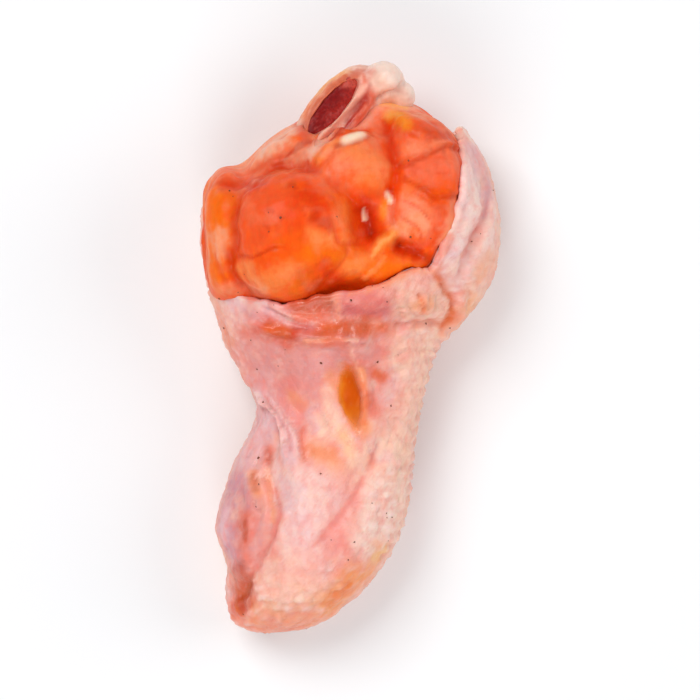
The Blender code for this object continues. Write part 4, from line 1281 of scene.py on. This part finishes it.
def paintMeat(points, normals, field, bone):
    x, y, z = points.T
    side, grain = field.side, field.grain
    coat = Coat(points, meatPiece["palette"], "orange")
    coat.lay("pinkRed", 0.5 * smoothStep(-0.1, 0.5, cloud(points, 4.0, 46, 3)))
    coat.lay("amber", 0.45 * smoothStep(0.0, 0.5, cloud(points, 5.5, 47, 2)))
    # film lies on the outer sides alone, and the creases between the lobes get painted shade
    ends = np.maximum(smoothStep(-20.0, -24.0, x), smoothStep(33.0, 38.0, y))
    outer = side * np.maximum(ends, smoothStep(23.0, 19.0, z))
    coat.lay("rust", 0.4 * (side - outer))
    coat.lay("film", 0.6 * outer * smoothStep(-0.15, 0.45, cloud(field.around, 5.0, 50, 3)))
    coat.lay("deepOrange", 0.45 * side * field.seams)
    streaks = cloud(field.around * (1.0, 0.5, 1.0), 1.3, 52, 2)
    coat.lay("film", 0.4 * outer * smoothStep(0.15, 0.5, streaks))
    coat.lay("film", 0.35 * side * smoothStep(0.1, 0.5, field.threads))
    coat.lay("rust", 0.4 * side * smoothStep(-0.15, -0.5, field.threads))
    coat.brush(field.fromLeft, field.flank, meatPiece["flankPaint"], grain)
    coat.brush(field.plan, smoothStep(-0.1, 0.3, normals[:, 2]), meatPiece["paint"], grain)
    mottle = cloud(points, 3.0, 51, 2)
    coat.lay("pink", 0.2 * smoothStep(0.1, 0.7, mottle))
    coat.lay("deepOrange", 0.18 * smoothStep(-0.1, -0.7, mottle))
    coat.darken(0.05 * grain + 0.08 * field.fibres)
    # painted shade in the grooves, darkest in the deepest
    coat.lay("deepOrange", 0.4 * smoothStep(-0.1, -0.5, field.height) * field.up)
    coat.lay("darkRed", 0.35 * smoothStep(-0.6, -2.2, field.height))
    # a pale film where the meat grips the bone
    grip = np.zeros(len(points))
    for number in np.flatnonzero(y > 30.0):
        place = bone.closest_point_on_mesh(Vector(points[number] * mm))[1]
        gap = np.linalg.norm(points[number] - np.array(place) / mm)
        grip[number] = smoothStep(2.6, 0.3, gap + 0.5 * grain[number])
    coat.lay("pale", 0.6 * grip * smoothStep(25.0, 22.0, z))
    plan = points[:, :2] + 0.3 * field.wander
    coat.brush(plan, smoothStep(-0.4, 0.0, normals[:, 2]), meatPiece["details"], 0.2 * grain)
    return coat


def makeMeat(bone):
    meat = meatShape(bone)
    points, normals = pointsOf(meat), normalsOf(meat)
    field = meatRelief(points, normals)
    movePoints(meat, points + normals * field.height[:, None])
    modify(meat, "SMOOTH", factor=0.5, iterations=4)
    # smoother beside the marrow, where the cutters met
    place, half, _ = meatPiece["trough"]
    torn = np.flatnonzero(np.linalg.norm(points - np.array(place), axis=1) < max(half[:2]) + 1.6)
    meat.vertex_groups.new(name="torn").add(torn.tolist(), 1.0, "REPLACE")
    modify(meat, "SMOOTH", factor=0.5, iterations=8, vertex_group="torn")
    paintMeat(points, normals, field, bone).store(meat)
    return meat


def meatFinish():
    finish = Finish("meatFinish")
    paint = finish.attribute("Paint", "Color")
    fine = finish.clouds(0.8, 3.0)
    mottle = 0.3 * finish.ramp(fine, (0.35, 0.0), (0.7, 1.0))
    shade = finish.blend(mottle, paint, colour(*meatPiece["mottleTint"]), "SOFT_LIGHT")
    threads = finish.clouds(0.5, 3.0, (1.5, 0.7, 1.0))
    finish.set(colour=shade, roughness=0.44 + 0.16 * fine, coat=0.14, coatRoughness=0.2,
               normal=finish.bump(threads + finish.clouds(1.3, 2.0), 0.06), glow=0.3,
               glowRadius=(1.0, 0.3, 0.1), glowScale=1.8 * mm, gloss=0.26,
               glossTint=(1.0, 0.6, 0.35, 1.0), ior=1.42)
    return finish


# Bone and marrow

bonePiece = {
    "voxel": 0.3,
    "mottleTint": (255, 225, 205),
    # x, y, z and radius from the shoulder to the elbow
    "line": (
        (4.3, 45, 18, 3.8), (-1, 39.6, 17.5, 4.4), (-4.5, 30, 15.5, 4.2), (-5, 15, 13.5, 3.4),
        (-5, 0, 12.5, 3.2), (-6.5, -15, 12, 3.3), (-8.5, -28, 12, 4.2), (-9, -34.5, 11.6, 4.8),
    ),
    "knobs": (
        ((5.6, 45.4, 17.8), (3.7, 3.9, 5.5), -30),
        ((8.7, 43.2, 16.6), (2.5, 2.8, 3.6), 0),
        ((-2.6, 40.4, 17.5), (10, 4.6, 6.6), 51),
        ((-12, -36.8, 11.6), (4.6, 4.6, 5.6), 0),
        ((-5.6, -36.8, 11.2), (4.2, 4.2, 5), 0),
    ),
    "socket": ((-3, 41.1, 24.6), (6.7, 2.1, 5.2), 49),
    # ridges of the broken end: centre, half sizes, turn
    "ridges": (
        ((-3.2, 38.1, 22), (7.9, 1, 2.8), 49),  # pale ridge right of the marrow
        ((-0.5, 37.7, 21.2), (6.8, 1.1, 2.8), 49),  # the lower one beside it
        ((0.6, 38.4, 21), (5, 0.9, 2.6), 50),
        ((-6.4, 35.2, 18.6), (5, 2.6, 3.6), 47),
        ((2.2, 44.4, 19.2), (3.2, 3.2, 4.2), 40),
    ),
    "strokes": (
        ("groove", 1.1, 0.45, 4.4, 42.2, 5.6, 42.8, 7.9, 43.7, 9.4, 45.6),
        ("groove", 0.6, 0.4, 2.4, 42.4, 1, 40.8, -0.5, 38.8, -2, 36.9, -4, 34.9),
        ("groove", 0.35, 0.35, 0.6, 46, 2.6, 44.4, 3.6, 42.4),
        ("groove", 0.5, 0.4, -8, 38.6, -9.2, 36.6, -11.6, 33.8),
        ("groove", 0.3, 0.3, -1.6, 47, -5.4, 43.8, -8.8, 40),
        ("ridge", 0.3, 0.8, 4, 48.2, 6.8, 46.6),
    ),
    "palette": {
        "cream": (242, 192, 170), "white": (250, 216, 200), "salmon": (228, 100, 68),
        "yellow": (250, 164, 96), "blush": (255, 182, 158), "pink": (238, 150, 130),
        "crimson": (168, 28, 14), "orange": (234, 104, 44), "rose": (226, 112, 96), "rim": (206, 84, 44),
    },
    "paint": (
        ("white", 0.9, 2.6, 4.6, 48, 7.2, 46.2),
        ("white", 0.9, 1.5, 10, 44.4, 9.4, 42.6),
        ("pink", 0.6, 1, 8.6, 43.6, 7.6, 42.6),
        ("rose", 0.6, 1.9, 1.6, 46.2, 2.6, 44.6, 3.4, 42.6),
        ("rose", 0.9, 1.2, 2.6, 41.6, 1, 39),
        ("blush", 0.6, 1, 0.2, 46.6, 1.8, 46),
        ("pink", 0.8, 0.9, 3.8, 46.8, 4.6, 44.2),
        ("cream", 0.85, 1.1, 4.8, 45.4, 5.4, 43.8),
        ("salmon", 0.7, 0.35, 2.3, 46.6, 2.6, 43.4),
        ("yellow", 0.95, 1.5, -1.6, 47, -5.4, 44.3, -7.9, 41.3, -9.4, 38.8),
        ("orange", 0.85, 0.8, -1, 46.2, -4.6, 43.5, -7.2, 40.6, -8.2, 38.4),
        ("salmon", 0.8, 0.9, -8.4, 37.6, -7.2, 36),
        ("cream", 0.9, 1.6, -9.6, 38, -12.8, 35.4, -16, 33),
        ("pink", 0.8, 1.2, -7.6, 36.6, -10.6, 34.2),
        ("salmon", 0.8, 0.5, -6.6, 35.6, -9, 34, -11.8, 32.6),
        ("pink", 0.95, 0.9, 1.2, 42.6, -0.9, 39.7, -3.3, 36.9, -5.8, 34.1),
        ("crimson", 0.5, 0.6, -6.8, 37.2, -6, 36.2),
        # painted shade in the crease between the knobs
        ("crimson", 0.5, 0.4, 4.4, 42.2, 5.4, 42.8, 7.2, 43.4),
    ),
    # small things with a clean edge, over the stain
    "details": (
        ("salmon", 0.8, 1.1, 3.6, 42.6, 2.4, 40.8, 1.2, 39.2),
        ("crimson", 0.75, 0.8, 2.4, 42.4, 1.2, 41, 0.2, 39.6, -0.4, 38.4),
        ("crimson", 0.9, 0.45, -0.2, 38.8, -0.6, 37.8, -1.6, 36.6, -3, 35.4),
        ("crimson", 0.35, 0.5, 3.4, 44.4, 2.6, 42.8),
        ("blush", 0.9, 0.6, 2.5, 44.4, 1.8, 43.4, 0.5, 42, -0.5, 40.9),
        ("blush", 0.9, 0.9, -0.5, 40.9, -1.7, 39.3, -2.7, 37.9, -3.9, 36.6),
        ("blush", 0.9, 1, -3.9, 36.6, -5.2, 35, -6.6, 33.2),
        ("cream", 0.95, 1.6, 6.2, 42.4, 8.8, 42.4),
        ("cream", 0.85, 1, 4.7, 45.4, 5.5, 43.8),
    ),
}


def boneShape():
    curve = bpy.data.curves.new("shaft", "CURVE")
    curve.dimensions = "3D"
    curve.bevel_depth = mm
    curve.bevel_resolution = 6
    curve.use_fill_caps = True
    curve.resolution_u = 8
    spline = curve.splines.new("BEZIER")
    spline.bezier_points.add(len(bonePiece["line"]) - 1)
    for point, (x, y, z, radius) in zip(spline.bezier_points, bonePiece["line"]):
        point.co = Vector((x, y, z)) * mm
        point.radius = radius
        point.handle_left_type = point.handle_right_type = "AUTO"
    shaft = bpy.data.objects.new("shaft", curve)
    bpy.context.scene.collection.objects.link(shaft)
    selectOnly(shaft)
    bpy.ops.object.convert(target="MESH")
    shaft = bpy.context.object
    knobs = blobs("knobs", bonePiece["knobs"] + bonePiece["ridges"])
    bone = joinAs("wingBone", [shaft, knobs])
    modify(bone, "REMESH", mode="VOXEL", voxel_size=bonePiece["voxel"] * mm)
    modify(bone, "SMOOTH", factor=0.5, iterations=14)
    return bone


def dressBone(bone):
    centre, half, turn = bonePiece["socket"]
    socket = blobs("socketCutter", [bonePiece["socket"]], 32)
    modify(bone, "BOOLEAN", operation="DIFFERENCE", object=socket, solver="MANIFOLD")
    remove(socket)
    bone = keepLargest(bone)
    modify(bone, "SMOOTH", factor=0.5, iterations=3)
    points, normals = pointsOf(bone), normalsOf(bone)
    plan = points[:, :2] + 0.3 * astray(points, 3.0, 61, 2)
    grain = cloud(points, 1.0, 63, 3)
    height = carve(plan, smoothStep(-0.1, 0.4, normals[:, 2]), bonePiece["strokes"], grain)
    height += 0.14 * cloud(points, 2.4, 64, 3) + 0.05 * grain
    movePoints(bone, points + normals * height[:, None])

    coat = Coat(points, bonePiece["palette"], "cream")
    facing = smoothStep(-0.6, 0.0, normals[:, 2])
    coat.lay("pink", 0.5 * smoothStep(0.0, 0.6, cloud(points, 3.0, 65, 3)))
    coat.brush(plan, facing, bonePiece["paint"], grain)
    low = smoothStep(18.0, 13.5, points[:, 2] + 0.8 * grain)
    coat.lay("rose", 0.45 * low * smoothStep(-0.1, 0.5, cloud(points, 2.2, 66, 3)))
    coat.lay("cream", 0.5 * low)
    # blood stains the socket's rim, but neither its outer side nor its upper end
    along, across = turned(plan[:, 0] - centre[0], plan[:, 1] - centre[1], turn)
    ring = np.hypot(along / half[0], across / half[1])
    inner = smoothStep(0.1, -0.2, across / half[1])
    high = smoothStep(15.0, 18.0, points[:, 2])
    stain = (0.2 + 0.5 * inner) * smoothStep(1.25, 0.95, ring + 0.08 * grain) * high
    coat.lay("crimson", stain * smoothStep(7.5, 4.0, along))
    coat.lay("rim", 0.8 * (1.0 - inner) * smoothStep(1.6, 1.05, ring + 0.1 * grain) * high)
    coat.brush(plan, facing, bonePiece["details"], 0.4 * grain)
    coat.darken(0.06 * grain)
    coat.store(bone)
    return bone


def boneFinish():
    finish = Finish("boneFinish")
    paint = finish.attribute("Paint", "Color")
    fine = finish.clouds(0.7, 3.0)
    shade = finish.blend(0.25 * fine, paint, colour(*bonePiece["mottleTint"]), "SOFT_LIGHT")
    finish.set(colour=shade, roughness=0.38 + 0.15 * fine, coat=0.2, coatRoughness=0.16,
               normal=finish.bump(fine + finish.clouds(0.3, 2.0), 0.05), glow=0.3,
               glowRadius=(1.0, 0.55, 0.4), glowScale=1.2 * mm, gloss=0.4, ior=1.45)
    return finish


marrowPiece = {
    "top": 22.5,
    "halfHeight": 2,
    "growth": (-0.3, 0.12),  # how much wider than the socket, along and across it
    "dish": 0.4,
    "dishReach": 4,
    "poreTint": (90, 2, 6),
    "palette": {
        "red": (180, 44, 36), "darkRed": (138, 10, 6), "plum": (110, 10, 48), "salmon": (214, 84, 66),
        "speck": (222, 96, 88),
    },
}


def makeMarrow():
    # the filling lies a little below the socket's rim, and its top is open spongy tissue
    centre, half, turn = bonePiece["socket"]
    growth, halfHeight = marrowPiece["growth"], marrowPiece["halfHeight"]
    middle = np.array((centre[0], centre[1], marrowPiece["top"] - halfHeight))
    size = np.array((half[0] + growth[0], half[1] + growth[1], halfHeight))
    marrow = blobs("wingMarrow", [(middle, size, turn)], 72)
    points = pointsOf(marrow) - middle
    unit = np.column_stack([*turned(points[:, 0], points[:, 1], turn), points[:, 2]]) / size
    flatness = (np.hypot(unit[:, 0], unit[:, 1]) ** 8 + np.abs(unit[:, 2]) ** 8) ** 0.125
    movePoints(marrow, middle + points / flatness[:, None])
    points, normals = pointsOf(marrow), normalsOf(marrow)
    x, y = points[:, 0], points[:, 1]
    spongy = cloud(points, 1.1, 71, 3)
    moved = points + normals * (0.08 * spongy + 0.3 * cloud(points, 1.8, 73, 2))[:, None]
    dish = marrowPiece["dish"] * near(points[:, :2], centre[:2], marrowPiece["dishReach"])
    moved[:, 2] -= dish * smoothStep(0.0, 0.6, normals[:, 2])
    movePoints(marrow, moved)
    # darkest on the left and low down, where the blood gathers
    left = (y - centre[1]) * 0.66 - (x - centre[0]) * 0.75 + 0.6 * spongy
    low = smoothStep(40.0, 38.0, y) * smoothStep(-1.8, -0.6, left)
    coat = Coat(points, marrowPiece["palette"], "red")
    coat.lay("darkRed", np.maximum(smoothStep(-1.3, 0.6, left), low))
    coat.lay("plum", 0.2 * smoothStep(0.0, 2.6, left) * smoothStep(39.0, 43.5, y))
    coat.lay("salmon", 0.85 * smoothStep(43.4, 45.6, y + 0.3 * x + 0.8 * spongy))
    coat.lay("speck", 0.3 * smoothStep(0.1, 0.4, cloud(points, 0.6, 72, 2)) * smoothStep(43.0, 37.0, y))
    coat.store(marrow)
    return marrow


def marrowFinish():
    finish = Finish("marrowFinish")
    paint = finish.attribute("Paint", "Color")
    sponge = finish.cells(0.45)
    pores = 0.3 * finish.ramp(sponge, (0.25, 1.0), (0.6, 0.0))
    shade = finish.blend(pores, paint, colour(*marrowPiece["poreTint"]))
    finish.set(colour=shade, roughness=0.56, coat=0.08, coatRoughness=0.3, gloss=0.2,
               normal=finish.bump(sponge, 0.05), glow=0.2, glowRadius=(1.0, 0.2, 0.1), glowScale=1.0 * mm)
    return finish


# Marinade that stands in the hollows of the skin

poolPiece = {
    "line": ((-0.1, -2.2), (-0.3, -5), (-0.1, -7.8), (0.6, -11), (1.4, -15.4)),
    "halfWidth": 2.5,
    "height": 0.24,
    "cloudTint": (184, 62, 0),
    "palette": {"thin": (255, 158, 44), "deep": (216, 86, 0)},
}


def makePool(skin):
    path = smoothLine(poolPiece["line"], 0.1)
    ahead = np.gradient(path, axis=0)
    ahead /= np.linalg.norm(ahead, axis=1)[:, None]
    selectOnly()
    bpy.ops.mesh.primitive_uv_sphere_add(segments=96, ring_count=48, radius=1.0, rotation=(0, math.pi / 2, 0))
    pool = startPiece("marinade")
    settle(pool)
    # a ball whose length runs down the line, whose width lies across it and whose top stands on the skin
    length, width, rise = (pointsOf(pool) * mm).T
    ball = np.column_stack([length, width, rise])
    step = (1.0 - length) / 2 * (len(path) - 1)
    middle, way = (np.column_stack([np.interp(step, np.arange(len(path)), row) for row in line.T])
                   for line in (path, ahead))
    edge = poolPiece["halfWidth"] * (1.0 + 0.12 * cloud(ball * 3.0, 1.6, 81, 2))
    edge *= 1.0 - 0.3 * np.abs(length) + 0.28 * length  # narrow at both ends, most so at the lower one
    plan = middle + np.column_stack([-way[:, 1], way[:, 0]]) * (width * edge)[:, None]
    moved = []
    for (x, y), up in zip(plan, rise):
        _, place, normal = fromAbove(skin, x, y)
        lift = poolPiece["height"] * up if up > 0 else 0.3 * up
        moved.append((place + normal * lift * mm) / mm)
    movePoints(pool, np.array(moved))
    # thin at the rim, darkest where it is deepest
    drift = 0.16 * cloud(np.column_stack([plan, np.zeros(len(plan))]), 1.6, 82, 3)
    away = np.hypot(length, width)
    upper = smoothStep(-0.9, 0.1, length)
    thick = smoothStep(0.0, 0.5, 1.0 - away + 0.4 * drift) * (0.5 + 0.5 * upper)
    deep = np.sqrt(np.clip(1.0 - away**2, 0.0, 1.0)) + drift + 0.3 * width
    coat = Coat(plan, poolPiece["palette"], "thin")
    coat.lay("deep", smoothStep(0.2, 1.0, deep) * (0.4 + 0.6 * upper))
    coat.store(pool, thick=thick)
    faceOutward(pool)
    return pool


def marinadeFinish():
    finish = Finish("marinadeFinish")
    thick = finish.attribute("Thick")
    cloudy = finish.clouds(2.4, 2.0)
    cloudShare = 0.25 * finish.ramp(cloudy, (0.4, 0.0), (0.7, 1.0))
    shade = finish.blend(cloudShare, finish.attribute("Paint", "Color"), colour(*poolPiece["cloudTint"]))
    finish.set(colour=shade, roughness=0.34, gloss=0.3, glossTint=(1.0, 0.6, 0.3, 1.0), alpha=0.95 * thick,
               normal=finish.bump(cloudy, 0.05))
    return finish


# Pepper

pepperPiece = {
    "count": 50,
    "small": 0.1,
    "large": 0.24,
    "seed": 12,
    "tries": 4000,
    "dark": (78, 38, 22),
    "light": (142, 78, 44),
    # specks that show clearly in place, then the rest fall at random
    "places": (
        (-4.9, -2.4), (4.7, -2.1), (8.1, -1.1), (-15.7, -18.7), (-16.9, 1.5), (-9.5, 27), (-13.5, 22.8),
         (-11.5, 21.8),
        (-13.5, 19.5), (13.6, 18.5), (10.2, 18.8), (6.2, 7.8), (0.2, 8.2), (-20.2, -17.9), (0.6, -32.9),
    ),
}


def makePepper(surfaces):
    rng = random.Random(pepperPiece["seed"])
    places = pepperPiece["places"]
    grains = []
    tries = 0
    while len(grains) < pepperPiece["count"] and tries < pepperPiece["tries"]:
        tries += 1
        clear = len(grains) < len(places)
        if clear:
            x, y = places[len(grains)]
            x, y = x + rng.uniform(-0.1, 0.1), y + rng.uniform(-0.1, 0.1)
        else:
            x, y = rng.uniform(-25, 26), rng.uniform(-49, 40)
        landings = [fromAbove(obj, x, y) for obj in surfaces]
        landings = [(place, normal) for hit, place, normal in landings if hit and normal.z > 0.25]
        if not landings:
            if clear:
                grains.append(None)  # its place is under something else
            continue
        place, normal = max(landings, key=lambda landing: landing[0].z)
        size = rng.uniform(pepperPiece["small"], pepperPiece["large"]) * (1.25 if clear else 1) * mm
        turn = [rng.uniform(0, 6.2) for _ in range(3)]
        shape = (1.0, rng.uniform(0.6, 1.0), rng.uniform(0.4, 0.7))
        spot = place + normal * size * 0.2
        selectOnly()
        bpy.ops.mesh.primitive_ico_sphere_add(subdivisions=1, radius=size, location=spot, rotation=turn,
                                              scale=shape)
        grain = bpy.context.object
        settle(grain)
        for vert in grain.data.vertices:
            vert.co += Vector([rng.uniform(-0.2, 0.2) * size for _ in range(3)])
        grains.append(grain)
    return joinAs("pepper", [grain for grain in grains if grain])


def pepperFinish():
    finish = Finish("pepperFinish")
    fine = finish.clouds(0.4, 2.0)
    shade = finish.blend(fine, colour(*pepperPiece["dark"]), colour(*pepperPiece["light"]))
    finish.set(colour=shade, roughness=0.6 + 0.2 * fine)
    return finish


# Studio

studio = {
    "viewHeight": 120,
    "lens": 180,
    "sensor": 36,
    "focus": 17,
    "centre": (0, -0.2),
    # name, power in watts, size, place, all in metres
    "lamps": (
        ("key", 4.1, 0.45, (-0.3, 0.36, 0.75)),
        ("front", 2.45, 0.5, (-0.1, -0.65, 0.5)),
        ("side", 1.9, 0.5, (0.65, 0.1, 0.5)),
    ),
    "sky": (236, 240, 246),
    "skyPower": 0.38,
    "floor": (246, 246, 246),
}


def makeStudio():
    scene = bpy.context.scene
    scene.view_settings.view_transform = "Standard"
    distance = studio["viewHeight"] * studio["lens"] / studio["sensor"] + studio["focus"]
    selectOnly()
    bpy.ops.object.camera_add(location=Vector((*studio["centre"], distance)) * mm)
    camera = startPiece("camera")
    camera.data.lens = studio["lens"]
    scene.camera = camera
    for name, power, size, place in studio["lamps"]:
        bpy.ops.object.light_add(type="AREA", location=place)
        lamp = startPiece(name)
        lamp.data.energy = power
        lamp.data.size = size
        lamp.rotation_euler = (-Vector(place)).to_track_quat("-Z", "Y").to_euler()
    world = bpy.data.worlds.new("sky")
    scene.world = world
    world.use_nodes = True
    sky = world.node_tree.nodes["Background"].inputs
    sky["Color"].default_value = colour(*studio["sky"])
    sky["Strength"].default_value = studio["skyPower"]
    selectOnly()
    bpy.ops.mesh.primitive_plane_add(size=6.0, location=(0, 0, -0.0002))
    floor = startPiece("floor")
    finish = Finish("floorFinish")
    finish.set(colour=colour(*studio["floor"]), roughness=0.9)
    floor.data.materials.append(finish.material)


makeStudio()
print("studio ready")
skin = makeSkin()
finishPiece(skin, skinFinish(), "skin")
bone = boneShape()
meat = makeMeat(bone)
finishPiece(meat, meatFinish(), "meat")
bone = dressBone(bone)
finishPiece(bone, boneFinish(), "bone")
marrow = makeMarrow()
finishPiece(marrow, marrowFinish(), "marrow")
pool = makePool(skin)
finishPiece(pool, marinadeFinish(), None)
pepper = makePepper([skin, meat])
finishPiece(pepper, pepperFinish(), None)
